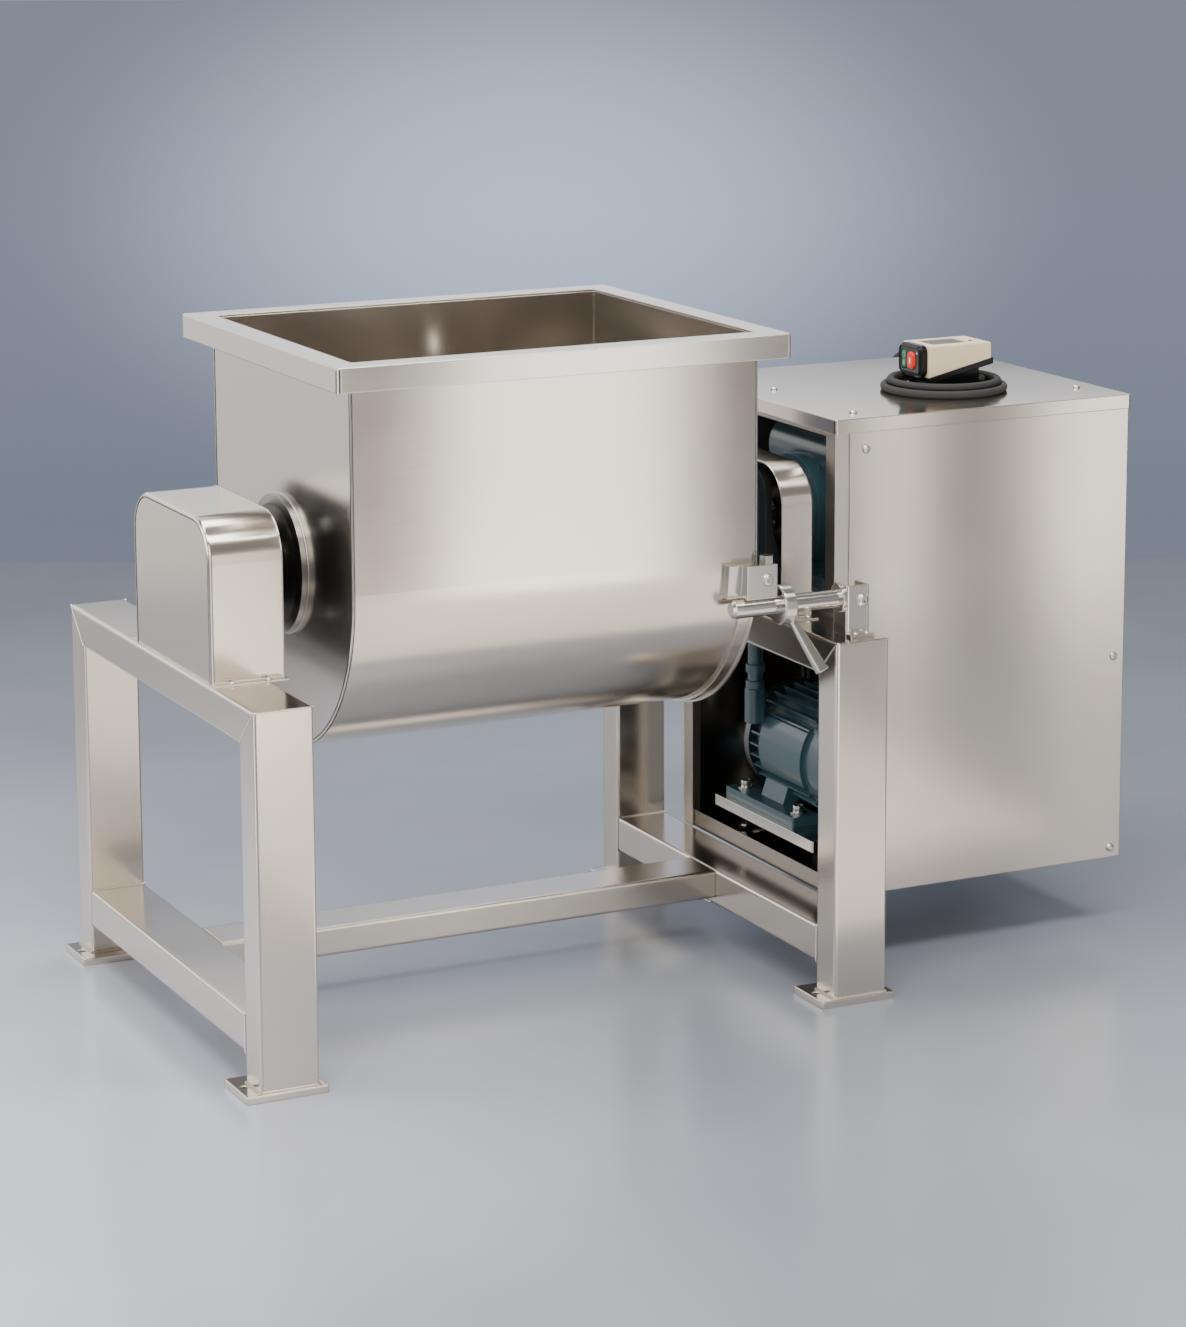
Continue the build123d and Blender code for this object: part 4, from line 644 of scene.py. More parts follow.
@dataclass
class FastenerSet:
    """Heads of one kind on one body.

    Args:
        name: The piece's name.
        head: The kind of head.
        rows: For each row of heads, their seats, the way that their noses point and their radius.
        body: The CAD body that carries them.
        finish: Their finish.
    """

    name: str
    head: Head
    rows: list[tuple[list[Point], Point, float]]
    body: str = "frame"
    finish: Finish = BRIGHT_BOLT

    def build(self) -> None:
        """Seat the heads through Geometry Nodes."""
        heads = [(seat, facing, radius) for seats, facing, radius in self.rows for seat in seats]
        mesh = bpy.data.meshes.new(self.name + "_seats")
        mesh.from_pydata([seat for seat, _, _ in heads], [], [])
        mesh.attributes.new("facing", "FLOAT_VECTOR", "POINT")
        mesh.attributes.new("size", "FLOAT", "POINT")
        for index, (_, facing, radius) in enumerate(heads):
            mesh.attributes["facing"].data[index].vector = facing
            mesh.attributes["size"].data[index].value = radius
        result = grown(mesh, fastener_tree(), {
            "Template": self.head.template(), "Finish": self.finish.material(), "Seed": 3})
        mesh_piece(self.name, result, self.finish, self.body, False)


@dataclass
class WeldSet:
    """Weld beads, bright folded edges or dark grooves of one body.

    Args:
        name: The piece's name.
        runs: Their paths.
        radius: Their radius.
        finish: Their finish.
        slot: The record's material slot; not used.
        body: The CAD body that carries them.
        closed: Whether each path is a loop.
        ripple: Length of one ripple, as a share of the radius.
    """

    name: str
    runs: list[list[Point]]
    radius: float
    finish: Finish = SEAM_METAL
    slot: str = "portal_steel"
    body: str = "frame"
    closed: bool = False
    ripple: float = 1.1

    def build(self) -> None:
        """Lay the beads through Geometry Nodes."""
        points: list[Point] = []
        edges: list[tuple[int, int]] = []
        for run in self.runs:
            start = len(points)
            points += run
            edges += [(start + i, start + i + 1) for i in range(len(run) - 1)]
            if self.closed:
                edges.append((start + len(run) - 1, start))
        mesh = bpy.data.meshes.new(self.name + "_path")
        mesh.from_pydata(points, edges, [])
        result = grown(mesh, weld_tree(), {
            "Radius": self.radius, "Ripple": self.radius * self.ripple,
            "Finish": self.finish.material()})
        mesh_piece(self.name, result, self.finish, self.body)


def rounded_outline(width: float, height: float, corner: float, steps: int = 6) -> list[Pair]:
    """Outline of a rounded rectangle about the origin.

    Args:
        width: Its width.
        height: Its height.
        corner: Its corner radius.
        steps: Pieces in each corner.

    Returns:
        Points counter-clockwise.
    """
    points = []
    for quarter, (sx, sy) in enumerate(((1, 1), (-1, 1), (-1, -1), (1, -1))):
        for step in range(steps + 1):
            turn = math.pi / 2 * (quarter + step / steps)
            points.append((sx * (width / 2 - corner) + corner * math.cos(turn),
                           sy * (height / 2 - corner) + corner * math.sin(turn)))
    return points


def arc_yz(x: float, centre: Pair, radius: float, start: float, end: float, steps: int
           ) -> list[Point]:
    """Points of an arc in a plane across X.

    Args:
        x: The plane's place.
        centre: Y and Z of its centre.
        radius: Its radius.
        start: Its first angle in degrees, from +Y towards +Z.
        end: Its last angle.
        steps: Its pieces.

    Returns:
        The points in order.
    """
    turns = [math.radians(start + (end - start) * i / steps) for i in range(steps + 1)]
    return [(x, centre[0] + radius * math.cos(t), centre[1] + radius * math.sin(t))
            for t in turns]


@dataclass
class Trough:
    """The mixing trough with its seams and the screw of its stop block."""

    left: float = -0.520
    right: float = 0.056
    axis: Pair = (-0.050, 0.618)
    radius: float = 0.240
    sheet: float = 0.002
    wall: float = 0.003
    under_rim: float = 0.882
    inner_top: float = 0.908
    seam_sink: float = 0.0006
    groove_rise: float = 0.0001
    groove_gap: float = 0.0032
    groove_step: float = 0.0024
    inner_bead: float = 0.0022
    flange_bead: float = 0.0018
    flange_radius: float = 0.092
    bend_steps: int = 40
    flange_steps: int = 60
    stop_screw: Point = (0.0585, -0.314, 0.588)
    stop_screw_radius: float = 0.0085

    def profile(self, x: float, radius: float, top: float) -> list[Point]:
        """Follow the trough's U from one top edge to the other.

        Args:
            x: The plane across the trough.
            radius: Half the width of the U.
            top: Height of both ends.

        Returns:
            The points in order.
        """
        y = self.axis[0]
        bend = arc_yz(x, self.axis, radius, 180, 360, self.bend_steps)
        return [(x, y - radius, top), *bend, (x, y + radius, top)]

    def build(self) -> None:
        """Lay the seams and seat the screw."""
        sunk, inner = self.radius - self.seam_sink, self.radius - self.sheet
        lip = self.under_rim
        seams = (
            ("trough_outer_seams", SEAM, SEAM_METAL, (
                (self.left + self.seam_sink, sunk, lip), (self.right - self.seam_sink, sunk, lip))),
            ("trough_grooves", GROOVE, GROOVE_SHADE, (
                (self.left - self.groove_rise, self.radius - self.groove_gap, lip),
                (self.left + self.groove_step, self.radius, lip),
                (self.right - self.groove_step, self.radius, lip))),
            ("trough_inner_seams", self.inner_bead, SEAM_METAL, (
                (self.left + self.wall, inner, self.inner_top),
                (self.right - self.wall, inner, self.inner_top))))
        for name, radius, finish, runs in seams:
            WeldSet(name, [self.profile(*run) for run in runs], radius, finish, "trough_steel",
                    "trough").build()
        flange = [arc_yz(x, self.axis, self.flange_radius, 0, 360, self.flange_steps)[:-1]
                  for x in (self.left, self.right)]
        WeldSet("trunnion_welds", flange, self.flange_bead, WELD_METAL, "trough_steel", "trough",
                True).build()
        FastenerSet("stop_block_screw", Head.BUTTON,
                    [([self.stop_screw], (0, -1, 0), self.stop_screw_radius)], "trough").build()


@dataclass
class Portals:
    """The two welded portals: seams round their feet, bars and mitres."""

    pitch: Pair = (-0.640, 0.184)
    half_width: float = 0.040
    outer_y: float = 0.350
    inner_y: float = 0.300
    foot_top: float = 0.010
    bar: Pair = (0.050, 0.100)
    top: float = 0.500
    under_top: float = 0.450
    stretcher: Pair = (0.005, 0.055)
    stretcher_z: Pair = (0.050, 0.090)
    mitre_sink: float = 0.0003
    foot_bead: float = 0.0026
    joint_bead: float = 0.0016
    mitre_bead: float = 0.0008

    def build(self) -> None:
        """Lay the beads round each joint of the portals."""
        feet, joints, mitres = [], [], []
        base, head = self.bar
        for x in self.pitch:
            low, high = x - self.half_width, x + self.half_width
            for side in (-1, 1):
                near, far = side * self.inner_y, side * self.outer_y
                feet.append([(low, near, self.foot_top), (high, near, self.foot_top),
                             (high, far, self.foot_top), (low, far, self.foot_top)])
                joints.append([(low, near, base), (high, near, base), (high, near, head),
                               (low, near, head)])
                for face, out in ((low, -1), (high, 1)):
                    skin = face - out * self.mitre_sink
                    mitres.append([(skin, far, self.top), (skin, near, self.under_top)])
        low, high = self.stretcher
        base, head = self.stretcher_z
        for x in (self.pitch[0] + self.half_width, self.pitch[1] - self.half_width):
            joints.append([(x, low, base), (x, high, base), (x, high, head), (x, low, head)])
        WeldSet("foot_welds", feet, self.foot_bead, WELD_METAL, closed=True).build()
        WeldSet("crossbar_welds", joints, self.joint_bead, closed=True).build()
        WeldSet("mitre_welds", mitres, self.mitre_bead).build()


@dataclass
class Covers:
    """The two sheet covers: seams round their faces and the screws of their foot flanges."""

    holes: tuple[float, ...] = (-0.6495, -0.6005, 0.16025, 0.18475)
    sides: Pair = (-0.200, 0.100)
    level: float = 0.502
    screw: float = 0.0048
    ends: tuple[tuple[float, int], ...] = ((-0.674, -1), (0.197, 1))
    open_ends: Pair = (-0.5763, 0.1483)
    span: Pair = (-0.192, 0.092)
    foot: float = 0.5005
    crown: float = 0.710
    corner: float = 0.056
    rim: float = 0.004
    seam_sink: float = 0.0003
    seam_gap: float = 0.0002
    groove_rise: float = 0.0001
    groove_gap: float = 0.0022
    corner_steps: int = 14

    def outline(self, x: float, inset: float) -> list[Point]:
        """Follow a cover's outline across X, from one foot to the other.

        Args:
            x: The plane.
            inset: How far inside the outline the path runs.

        Returns:
            The points in order.
        """
        near, far = self.span[0] + inset, self.span[1] - inset
        top, corner = self.crown - inset, self.corner - inset
        return [(x, near, self.foot),
                *arc_yz(x, (near + corner, top - corner), corner, 180, 90, self.corner_steps),
                *arc_yz(x, (far - corner, top - corner), corner, 90, 0, self.corner_steps),
                (x, far, self.foot)]

    def build(self) -> None:
        """Lay the seams of the end faces and seat the screws in the foot flanges."""
        seams = [self.outline(x - side * self.seam_sink, self.rim + self.seam_gap)
                 for x, side in self.ends]
        seams += [self.outline(x, self.seam_gap) for x in self.open_ends]
        WeldSet("cover_seams", seams, SEAM, SEAM_METAL, "cover_steel").build()
        grooves = [self.outline(x + side * self.groove_rise, self.rim + self.groove_gap)
                   for x, side in self.ends]
        WeldSet("cover_grooves", grooves, GROOVE, GROOVE_SHADE, "cover_steel").build()
        seats = [(x, y, self.level) for x in self.holes for y in self.sides]
        FastenerSet("cover_screws", Head.BUTTON, [(seats, UPRIGHT, self.screw)]).build()


@dataclass
class Cabinet:
    """Screws of the cabinet's lid and panels, by their two places on each face."""

    lid_top: float = 0.772
    front: float = -0.205
    side: float = 0.6968
    back: float = 0.240
    lid_screws: tuple[Pair, ...] = (
        (0.274, -0.164), (0.276, 0.063), (0.664, -0.122), (0.276, 0.205), (0.664, 0.205))
    front_screws: tuple[Pair, ...] = (
        (0.271, 0.728), (0.680, 0.396), (0.681, 0.114), (0.271, 0.396))
    back_screws: tuple[Pair, ...] = (
        (0.271, 0.728), (0.671, 0.728), (0.271, 0.120), (0.671, 0.120))
    side_screws: tuple[Pair, ...] = (
        (-0.170, 0.728), (0.205, 0.728), (-0.170, 0.114), (0.205, 0.114))
    screw: float = 0.0062
    side_screw: float = 0.00496

    def build(self) -> None:
        """Seat the screws on the lid and the three panels."""
        rows = [
            ([(x, y, self.lid_top) for x, y in self.lid_screws], UPRIGHT, self.screw),
            ([(x, self.front, z) for x, z in self.front_screws], (0, -1, 0), self.screw),
            ([(x, self.back, z) for x, z in self.back_screws], (0, 1, 0), self.screw)]
        FastenerSet("cabinet_screws", Head.BUTTON, rows).build()
        seats = [(self.side, y, z) for y, z in self.side_screws]
        FastenerSet("cabinet_side_screws", Head.BUTTON, [(seats, ALONG, self.side_screw)]).build()


@dataclass
class Drive:
    """Bolts of the motor and the gear unit."""

    motor: Pair = (0.328, 0.256)
    foot_y: float = 0.031
    foot_reach: Pair = (0.070, 0.0775)
    pad_top: float = 0.180
    foot_bolt: float = 0.0084
    gear: Point = (0.300, -0.050, 0.536)
    gear_reach: Pair = (0.040, 0.074)
    gear_bolt: float = 0.006
    shield_y: float = 0.092
    shield_reach: float = 0.076
    shield_bolt: float = 0.0045

    def build(self) -> None:
        """Seat the bolts on the motor's feet, its shield and the gear unit's foot."""
        x, axis = self.motor
        corners = [(i, j) for i in (-1, 1) for j in (-1, 1)]
        wide, deep = self.foot_reach
        feet = [(x + i * wide, self.foot_y + j * deep, self.pad_top) for i, j in corners]
        wide, deep = self.gear_reach
        middle, across, level = self.gear
        base = [(middle + i * wide, j * deep + across, level) for i, j in corners]
        turns = [math.radians(45 + 90 * k) for k in range(4)]
        shield = [(x + self.shield_reach * math.cos(turn), self.shield_y,
                   axis + self.shield_reach * math.sin(turn)) for turn in turns]
        FastenerSet("motor_foot_bolts", Head.CAP, [(feet, UPRIGHT, self.foot_bolt)]).build()
        FastenerSet("gear_foot_bolts", Head.CAP, [(base, UPRIGHT, self.gear_bolt)]).build()
        FastenerSet("motor_shield_bolts", Head.HEX, [(shield, (0, 1, 0), self.shield_bolt)]).build()


@dataclass
class Latch:
    """Screws of the latch's bracket."""

    face: Point = (0.200, -0.319, 0.548)
    foot: tuple[Point, ...] = ((0.186, -0.3255, 0.504), (0.204, -0.3255, 0.504))
    face_screw: float = 0.0085
    foot_screw: float = 0.0042

    def build(self) -> None:
        """Seat the screws on the bracket's face and foot."""
        FastenerSet("latch_screws", Head.BUTTON, [
            ([self.face], (0, -1, 0), self.face_screw),
            (list(self.foot), UPRIGHT, self.foot_screw)]).build()


@dataclass(frozen=True)
class Cap:
    """A push button's cap: its place along Y from the face's middle, its size and its front."""

    shift: float
    width: float
    height: float
    corner: float
    front: float


@dataclass(frozen=True)
class Mark:
    """A printed mark.

    Args:
        rise: How far it sits above the face's middle.
        size: Its width and height.
        corner: Its corner radius, or 0 for nearly half its narrow side.
        hole: A ring's opening, as its size and corner radius.
    """

    rise: float
    size: Pair
    corner: float = 0.0
    hole: tuple[Pair, float] | None = None


@dataclass
class Pendant:
    """The push-button pendant: moulded caps, their marks, the plate between them and the bare
    panel in the housing's recess."""

    face_x: float = 0.430
    middle: Pair = (-0.050, 0.8185)
    well: Pair = (0.052, 0.036)
    well_depth: float = 0.005
    start: Cap = Cap(0.0145, 0.0155, 0.027, 0.004, 0.4305)
    stop: Cap = Cap(-0.0065, 0.0195, 0.0255, 0.0085, 0.4275)
    crown: tuple[Pair, ...] = (
        (0.0026, 0.0), (0.0014, 0.0005), (0.0006, 0.0014), (0.0001, 0.003), (0.0, 0.0046))
    cap_back: float = 0.002
    least_corner: float = 0.0012
    ink: Pair = (0.0004, -0.0001)
    ink_round: float = 0.49
    start_ring: Mark = Mark(0.0062, (0.0086, 0.0074), 0.0036, ((0.0056, 0.0046), 0.0022))
    start_bar: Mark = Mark(-0.0052, (0.0052, 0.0082))
    stop_bar: Mark = Mark(0.0, (0.0036, 0.0088))
    dot: Mark = Mark(0.0115, (0.0034, 0.0026))
    dot_shift: float = -0.0195
    plate_x: float = 0.4312
    plate_sink: float = 0.0002
    plate_round: float = 0.0006
    plate_gaps: Pair = (0.0004, 0.001)
    plate_corner: float = 0.0055
    window: Pair = (0.426, 0.440)
    window_gap: float = 0.0006
    window_round: float = 0.0002
    recess: tuple[float, float, float, float] = (0.456, 0.514, 0.042, 0.8395)
    panel: tuple[Pair, ...] = ((-0.0002, 0.0004), (0.0006, 0.0004), (0.0009, 0.0008))
    panel_corner: float = 0.0025
    screw: Point = (0.5235, -0.062, 0.8408)
    screw_radius: float = 0.0026

    def ring_at(self, x: float, shift: float, size: Pair, corner: float, rise: float = 0.0
                ) -> list[Vector]:
        """Rounded rectangle across X about a place on the pendant's face.

        Args:
            x: The ring's plane.
            shift: Its place along Y from the face's middle.
            size: Its width along Y and height along Z.
            corner: Its corner radius.
            rise: How far it sits above the face's middle.

        Returns:
            The ring's points.
        """
        y = self.middle[0] + shift
        return [Vector((x, y + a, self.middle[1] + rise + b))
                for a, b in rounded_outline(size[0], size[1], corner)]

    def cap_piece(self, name: str, body: str, cap: Cap, finish: Finish) -> None:
        """Build a moulded cap with a crowned face in place of a plain button.

        Args:
            name: The piece's name, which starts with its button's.
            body: The button's body.
            cap: Its place and size.
            finish: Its finish.
        """
        back = self.face_x + self.well_depth + self.cap_back
        steps = [(back, 0.0)] + [(cap.front + depth, inset) for depth, inset in self.crown]
        rings = [self.ring_at(x, cap.shift, (cap.width - 2 * inset, cap.height - 2 * inset),
                              max(cap.corner - inset, self.least_corner)) for x, inset in steps]
        piece = mesh_piece(name, skinned(name, rings), finish, body)
        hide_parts(body)

    def print_mark(self, name: str, body: str, cap: Cap, finish: Finish, mark: Mark) -> None:
        """Print a bar, a dot or a ring on a cap or on the plate.

        Args:
            name: The piece's name.
            body: The body that it is printed on.
            cap: The place and face that carry it.
            finish: The ink.
            mark: Its shape.
        """
        faces = [cap.front + depth for depth in self.ink]
        corner = mark.corner or min(mark.size) * self.ink_round
        rings = [self.ring_at(x, cap.shift, mark.size, corner, mark.rise) for x in faces]
        if mark.hole:
            rings += [self.ring_at(x, cap.shift, *mark.hole, mark.rise) for x in reversed(faces)]
        mesh_piece(name, skinned(name, rings, bool(mark.hole)), finish, body,
                   False)

    def build(self) -> None:
        """Build the caps, their marks, the plate and the recess's panel."""
        self.cap_piece("start_cap", "start_button", self.start, GREEN_CAP)
        self.cap_piece("stop_cap", "stop_button", self.stop, RED_CAP)
        plate_face = Cap(self.dot_shift, 0.0, 0.0, 0.0, self.plate_x)
        for name, body, cap, ink, mark in (
                ("start_mark", "start_button", self.start, PALE_INK, self.start_ring),
                ("start_bar", "start_button", self.start, PALE_INK, self.start_bar),
                ("stop_mark", "stop_button", self.stop, WHITE_INK, self.stop_bar),
                ("plate_dot", "frame", plate_face, WHITE_INK, self.dot)):
            self.print_mark(name, body, cap, ink, mark)
        wide, high = self.well
        floor = self.face_x + self.well_depth
        gap, edge = self.plate_gaps
        levels = ((floor + self.plate_sink, gap), (self.plate_x + self.plate_round, gap),
                  (self.plate_x, edge))
        rings = [self.ring_at(x, 0.0, (wide - 2 * inset, high - 2 * inset), self.plate_corner)
                 for x, inset in levels]
        plate = mesh_piece("button_plate", skinned("button_plate", rings), GREEN_PLATE, "frame")
        self.open_windows(plate)
        left, right, depth, level = self.recess
        rings = []
        for rise, inset in self.panel:
            outline = rounded_outline(right - left - 2 * inset, depth - 2 * inset,
                                      self.panel_corner)
            rings.append([Vector(((left + right) / 2 + a, self.middle[0] + b, level + rise))
                          for a, b in outline])
        mesh_piece("bare_panel", skinned("bare_panel", rings), PANEL_GREY, "frame")
        FastenerSet("pendant_screw", Head.BUTTON, [([self.screw], UPRIGHT, self.screw_radius)],
                    finish=PANEL_GREY).build()

    def open_windows(self, plate: bpy.types.Object) -> None:
        """Cut the plate where the two caps pass through it.

        Args:
            plate: The plate, changed here.
        """
        for cap in (self.start, self.stop):
            size = (cap.width + self.window_gap, cap.height + self.window_gap)
            rings = [self.ring_at(x, cap.shift, size, cap.corner + self.window_round)
                     for x in self.window]
            cutter = in_scene("cutter", skinned("cutter", rings))
            cut = plate.modifiers.new("window", "BOOLEAN")
            cut.operation = "DIFFERENCE"
            cut.solver = "EXACT"
            cut.object = cutter
            plate.data = settled(plate)
            bpy.data.objects.remove(cutter)


@dataclass
class Cord:
    """The pendant's cord: two turns on the lid, the way over its back edge, and the boot."""

    diameter: float = 0.011
    middle: Pair = (0.488, -0.050)
    exit: Point = (0.530, -0.050, 0.7775)
    first: tuple[Point, ...] = (
        (0.5450, -0.0500, 0.7785), (0.5590, -0.0450, 0.7812), (0.5625, -0.0270, 0.7850))
    inner: Pair = (0.0755, 0.7865)
    outer: Pair = (0.0845, 0.7775)
    per_turn: int = 12
    upper_turn: tuple[int, int] = (60, 420)
    step_down: tuple[Pair, ...] = ((420, 0.3), (450, 0.8))
    lower_turn: tuple[int, int] = (480, 721)
    smoothness: tuple[int, int] = (6, 10)
    lead: tuple[Point, ...] = (
        (0.56118, -0.00775, 0.7775), (0.52018, 0.06326, 0.7775), (0.575, 0.158, 0.7785),
        (0.612, 0.229, 0.783), (0.622, 0.290, 0.770), (0.630, 0.338, 0.744),
        (0.618, 0.345, 0.690), (0.612, 0.315, 0.650), (0.612, 0.259, 0.650))
    length: float = 1.61
    boot: tuple[Pair, ...] = (
        (0.5295, 0.0085), (0.5325, 0.0085), (0.535, 0.0072), (0.5365, 0.0078), (0.5385, 0.0066),
        (0.540, 0.0072), (0.5425, 0.0060))
    boot_axis: Pair = (-0.050, 0.7777)
    boot_flat: float = 0.66
    boot_sides: int = 24

    def turn_point(self, degrees: float, share: float) -> Point:
        """Control point of a turn.

        Args:
            degrees: Its place round the turn.
            share: 0 on the upper, inner turn and 1 on the lower, outer one.

        Returns:
            The point.
        """
        radius, level = (low + (high - low) * share for low, high in zip(self.inner, self.outer))
        reach = radius / math.cos(math.pi / self.per_turn)
        turn = math.radians(degrees)
        return (self.middle[0] + reach * math.cos(turn), self.middle[1] + reach * math.sin(turn),
                level)

    def route(self) -> list[Point]:
        """Lay out the spline.

        Returns:
            Its control points, from the pendant to the cabinet's gland.
        """
        step = 360 // self.per_turn
        turns = [(turn, 0.0) for turn in range(*self.upper_turn, step)]
        turns += self.step_down
        turns += [(turn, 1.0) for turn in range(*self.lower_turn, step)]
        return [self.exit, *self.first, *(self.turn_point(*turn) for turn in turns), *self.lead]

    def build(self) -> None:
        """Build the cord and the boot that it leaves the pendant through."""
        curve = bpy.data.curves.new("pendant_cord", "CURVE")
        curve.dimensions = "3D"
        curve.bevel_depth = self.diameter / 2
        curve.bevel_resolution, curve.resolution_u = self.smoothness
        curve.use_fill_caps = True
        route = self.route()
        line = curve.splines.new("NURBS")
        line.points.add(len(route) - 1)
        for point, place in zip(line.points, route):
            point.co = (*place, 1.0)
        line.order_u = 3
        line.use_endpoint_u = True
        line.use_smooth = True
        curve.materials.append(CORD_RUBBER.material())
        cord = in_scene("pendant_cord", curve)
        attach(cord, "frame")
        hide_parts("cord_coil", "cord_lead")
        log.info("piece pendant_cord on frame")
        y, z = self.boot_axis
        turns = [2 * math.pi * i / self.boot_sides for i in range(self.boot_sides)]
        rings = [[Vector((x, y + radius * math.cos(t), z + radius * self.boot_flat * math.sin(t)))
                  for t in turns] for x, radius in self.boot]
        mesh_piece("cord_boot", skinned("cord_boot", rings), BLACK_SHELL, "frame")


@dataclass(frozen=True)
class Lamp:
    """A soft rectangular lamp.

    Args:
        name: Its name.
        place: Where it hangs.
        target: What it faces.
        size: Its width and height.
        power: Its power in watts.
        color: Its colour.
    """

    name: str
    place: Point
    target: Point
    size: Pair
    power: float
    color: Color

    def hang(self) -> None:
        """Put the lamp in the scene, out of the camera's sight."""
        data = bpy.data.lights.new(self.name, "AREA")
        data.shape = "RECTANGLE"
        data.size, data.size_y = self.size
        data.energy = self.power
        data.color = self.color
        lamp = in_scene(self.name, data)
        lamp.location = self.place
        facing = Vector(self.target) - Vector(self.place)
        lamp.rotation_euler = facing.to_track_quat("-Z", "Y").to_euler()
        lamp.visible_camera = False


@dataclass
class Studio:
    """Floor, backdrop, lamps and the camera at the photograph's viewpoint."""

    place: Point = (-2.28253, -4.562938, 1.623947)
    yaw: float = math.radians(26.154)
    pitch: float = math.radians(10.298)
    roll: float = math.radians(-0.251)
    focal_px: float = 3765.252
    sensor: float = 36.0
    shift_y: float = -0.15
    clip_end: float = 100.0
    floor_half: float = 16.0
    floor_tones: tuple[tuple[float, Color], ...] = (
        (0.3, (0.27, 0.295, 0.35)), (0.72, (0.31, 0.335, 0.39)))
    floor_cloud: Pair = (2.2, 8.0)
    floor_gloss: Pair = (0.17, 0.27)
    # Painted pool of light on the floor: its middle, its reach and how far it lifts the floor's
    # colour.
    floor_light_pool: tuple[Point, Point, float] = ((-1.3, 0.2, 0.0), (1.6, 2.3, 1.0), 0.95)
    wall_distance: float = 7.8
    wall_half: float = 9.0
    wall_height: float = 6.0
    wall_tones: tuple[tuple[float, Color], ...] = (
        (0.0, (0.2, 0.228, 0.295)), (0.04, (0.195, 0.225, 0.295)), (0.14, (0.215, 0.245, 0.32)),
        (0.3, (0.235, 0.268, 0.35)), (0.493, (0.235, 0.265, 0.335)), (0.503, (1.55, 1.55, 1.58)),
        (1.0, (1.4, 1.4, 1.4)))
    wall_tone_height: float = 2.4
    glow_left: float = 0.12
    glow_height: float = 0.74
    glow_reach: Point = (1.25, 1.25, 0.75)
    glow_lift: float = 1.75
    world_color: Color = (1.0, 0.95, 0.89)
    world_strength: float = 0.27
    lamps: tuple[Lamp, ...] = (
        Lamp("top_strip_front", (-0.3, -1.5, 3.0), (-0.1, -0.2, 0.5), (3.6, 0.75), 85.0,
             (1.0, 0.985, 0.96)),
        Lamp("top_strip_back", (-0.3, 0.5, 3.2), (-0.1, 0.1, 0.5), (3.6, 0.9), 85.0,
             (1.0, 0.985, 0.96)),
        Lamp("bounce_card", (0.25, -1.7, 0.03), (0.25, -1.69, 1.03), (1.2, 2.2), 9.0,
             (1.0, 0.87, 0.72)),
        Lamp("edge_strip", (-1.5, -0.9, 0.62), (-0.4, -0.3, 0.55), (0.6, 1.2), 5.5,
             (1.0, 0.98, 0.95)),
        Lamp("trough_strip", (0.52, -1.85, 0.66), (-0.28, -0.3, 0.62), (0.42, 1.3), 5.4,
             (1.0, 0.96, 0.91)),
        Lamp("leg_strip", (-0.1, -1.95, 0.55), (-0.64, -0.35, 0.4), (0.24, 1.1), 2.4,
             (1.0, 0.9, 0.8)),
        Lamp("post_strip", (1.29, -1.85, 0.66), (0.27, -0.2, 0.5), (0.1, 1.3), 1.1,
             (1.0, 0.95, 0.89)),
        Lamp("cabinet_strip", (1.77, -1.85, 0.66), (0.62, -0.2, 0.5), (0.24, 1.3), 2.8,
             (1.0, 0.95, 0.89)),
        Lamp("left_card", (-1.9, 2.3, 0.8), (-0.6, 0.0, 0.5), (2.2, 1.6), 10.5,
             (1.0, 0.93, 0.86)),
        Lamp("left_panel_light", (-3.6, 1.0, 1.6), (-0.4, 0.0, 0.5), (1.4, 2.2), 50.0,
             (1.0, 0.97, 0.93)),
        Lamp("camera_side_fill", (-2.6, -3.6, 2.6), (0.0, 0.0, 0.5), (2.0, 2.0), 45.0,
             (1.0, 0.98, 0.95)))

    def level_axes(self) -> tuple[Vector, Vector]:
        """Return the camera's forward and right directions, laid level."""
        sin_y, cos_y = math.sin(self.yaw), math.cos(self.yaw)
        return Vector((sin_y, cos_y, 0.0)), Vector((cos_y, -sin_y, 0.0))

    def build_camera(self) -> None:
        """Create the camera and make it the scene's."""
        level = math.cos(self.pitch)
        forward = Vector((math.sin(self.yaw) * level, math.cos(self.yaw) * level,
                          -math.sin(self.pitch)))
        right = self.level_axes()[1]
        up = right.cross(forward)
        across = right * math.cos(self.roll) + up * math.sin(self.roll)
        upward = up * math.cos(self.roll) - right * math.sin(self.roll)
        turn = Matrix((across, upward, -forward)).transposed()
        data = bpy.data.cameras.new("view")
        data.sensor_fit = "AUTO"
        data.sensor_width = self.sensor
        data.lens = self.focal_px / PHOTO_HEIGHT * self.sensor
        data.shift_y = self.shift_y
        data.clip_end = self.clip_end
        camera = in_scene("view", data)
        camera.matrix_world = Matrix.Translation(self.place) @ turn.to_4x4()
        bpy.context.scene.camera = camera

    def sheet(self, name: str, corners: list[Vector], material: bpy.types.Material) -> None:
        """Put a flat stage sheet in the scene.

        Args:
            name: Its name.
            corners: Its corners.
            material: Its material.
        """
        mesh = bpy.data.meshes.new(name)
        mesh.from_pydata(corners, [], [tuple(range(len(corners)))])
        mesh.materials.append(material)
        in_scene(name, mesh)

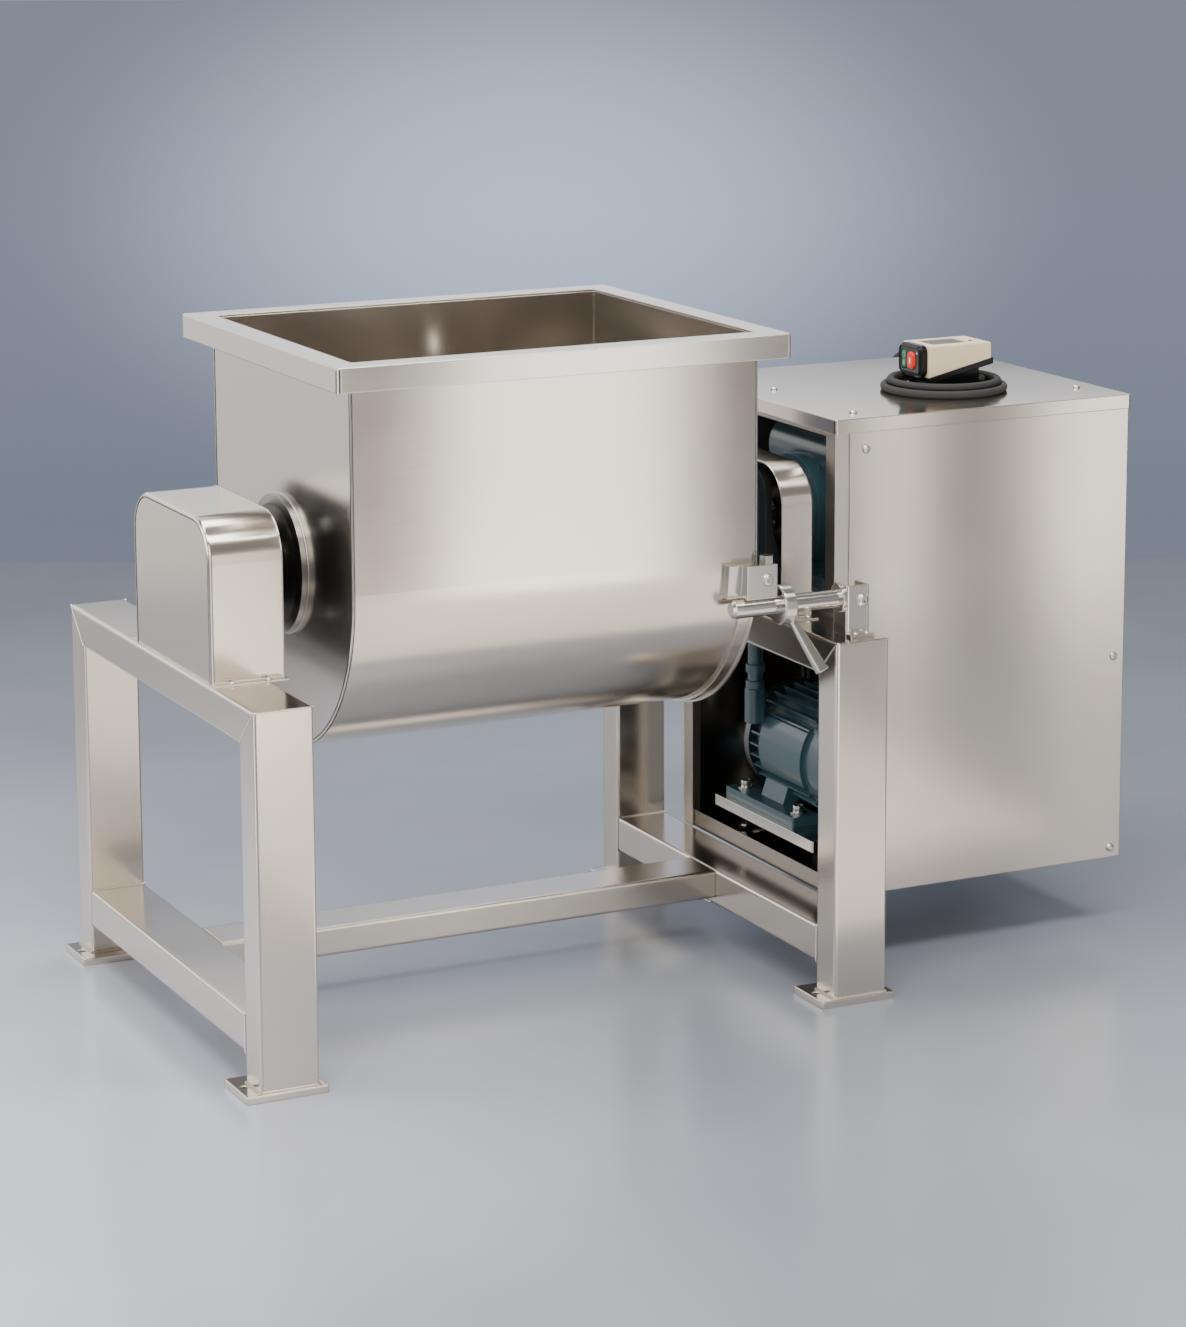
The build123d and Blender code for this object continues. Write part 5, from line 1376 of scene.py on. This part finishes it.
    def floor_material(self) -> bpy.types.Material:
        """Sealed pale floor with a faint cloudy gloss and a painted pool of light.

        Returns:
            The material.
        """
        material, tree, place = new_material("studio_floor")
        scale, detail = self.floor_cloud
        cloud = tree.add("ShaderNodeTexNoise", {"Vector": place, "Scale": scale,
                                                "Detail": detail}).outputs["Fac"]
        low, high = self.floor_gloss
        rough = tree.add("ShaderNodeMapRange", {"Value": cloud, "To Min": low, "To Max": high})
        # Painted light: the floor's colour is lifted in a soft pool.
        shade = tree.add("ShaderNodeVectorMath", {
            0: tree.ramp(cloud, self.floor_tones),
            "Scale": tree.soft_spot(place, *self.floor_light_pool)}, operation="SCALE")
        shader = tree.add("ShaderNodeBsdfPrincipled", {
            "Base Color": shade.outputs["Vector"], "Roughness": rough.outputs["Result"]})
        tree.add("ShaderNodeOutputMaterial", {"Surface": shader.outputs["BSDF"]})
        return material

    def wall_material(self, foot: Vector, right: Vector) -> bpy.types.Material:
        """Backdrop with a soft light middle, seen by the camera and in gloss alone.

        Args:
            foot: The middle of its lower edge.
            right: The direction along it.

        Returns:
            The material.
        """
        material, tree, place = new_material("studio_backdrop")
        split = tree.add("ShaderNodeSeparateXYZ", {"Vector": place})
        height = tree.add("ShaderNodeMapRange", {
            "Value": split.outputs["Z"], "From Min": 0.0, "From Max": self.wall_tone_height})
        middle = foot - right * self.glow_left + Vector((0.0, 0.0, self.glow_height))
        glow = tree.add("ShaderNodeEmission", {
            "Color": tree.ramp(height.outputs["Result"], self.wall_tones),
            "Strength": tree.soft_spot(place, tuple(middle), self.glow_reach, self.glow_lift)})
        path = tree.add("ShaderNodeLightPath")
        seen = tree.math("MAXIMUM", path.outputs["Is Camera Ray"], path.outputs["Is Glossy Ray"])
        side = tree.add("ShaderNodeNewGeometry")
        front = tree.math("SUBTRACT", 1.0, side.outputs["Backfacing"])
        clear = tree.add("ShaderNodeBsdfTransparent")
        mix = tree.add("ShaderNodeMixShader", {
            0: tree.math("MULTIPLY", seen, front), 1: clear.outputs["BSDF"],
            2: glow.outputs["Emission"]})
        tree.add("ShaderNodeOutputMaterial", {"Surface": mix.outputs[0]})
        return material

    def build(self) -> None:
        """Build the stage, the lamps, the world and the camera."""
        half = self.floor_half
        corners = ((-half, -half), (half, -half), (half, half), (-half, half))
        self.sheet("studio_floor", [Vector((x, y, 0.0)) for x, y in corners],
                   self.floor_material())
        forward, right = self.level_axes()
        foot = Vector((self.place[0], self.place[1], 0.0)) + forward * self.wall_distance
        lift = Vector((0.0, 0.0, self.wall_height))
        low, high = foot - right * self.wall_half, foot + right * self.wall_half
        self.sheet("studio_backdrop", [low, high, high + lift, low + lift],
                   self.wall_material(foot, right))
        for lamp in self.lamps:
            lamp.hang()
        world = bpy.data.worlds.new("studio_world")
        world.use_nodes = True
        sky = world.node_tree.nodes["Background"]
        sky.inputs["Color"].default_value = (*self.world_color, 1.0)
        sky.inputs["Strength"].default_value = self.world_strength
        bpy.context.scene.world = world
        self.build_camera()


@dataclass
class RibbonBlender:
    """The whole machine: CAD nodes in their finishes and the detail that stands on them."""

    frame: dict
    parts: list[object] = field(default_factory=lambda: [
        Cord(), Trough(), Portals(), Covers(), Cabinet(), Drive(), Latch(), Pendant()])

    def dress(self) -> None:
        """Give every CAD node its finish."""
        for finish, names in NODE_FINISHES.items():
            for name in names:
                for slot in self.frame["nodes"][name].material_slots:
                    slot.material = finish.material()
                log.info("node %s wears %s", name, finish.name)
        dressed = {name for names in NODE_FINISHES.values() for name in names}
        for name in self.frame["nodes"]:
            if name not in dressed:
                raise RuntimeError("no finish for node " + name)

    def build(self) -> None:
        """Dress the nodes and build each sub-assembly's detail."""
        self.dress()
        for part in self.parts:
            part.build()
            log.info("built %s", type(part).__name__)
        for head in Head:
            bpy.data.objects.remove(head.template())


def main() -> None:
    """Load the frame, build the machine and its studio."""
    logging.basicConfig(level=logging.INFO, format="%(name)s: %(message)s")
    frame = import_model()
    RibbonBlender(frame).build()
    Studio().build()


if __name__ == "__main__":
    main()
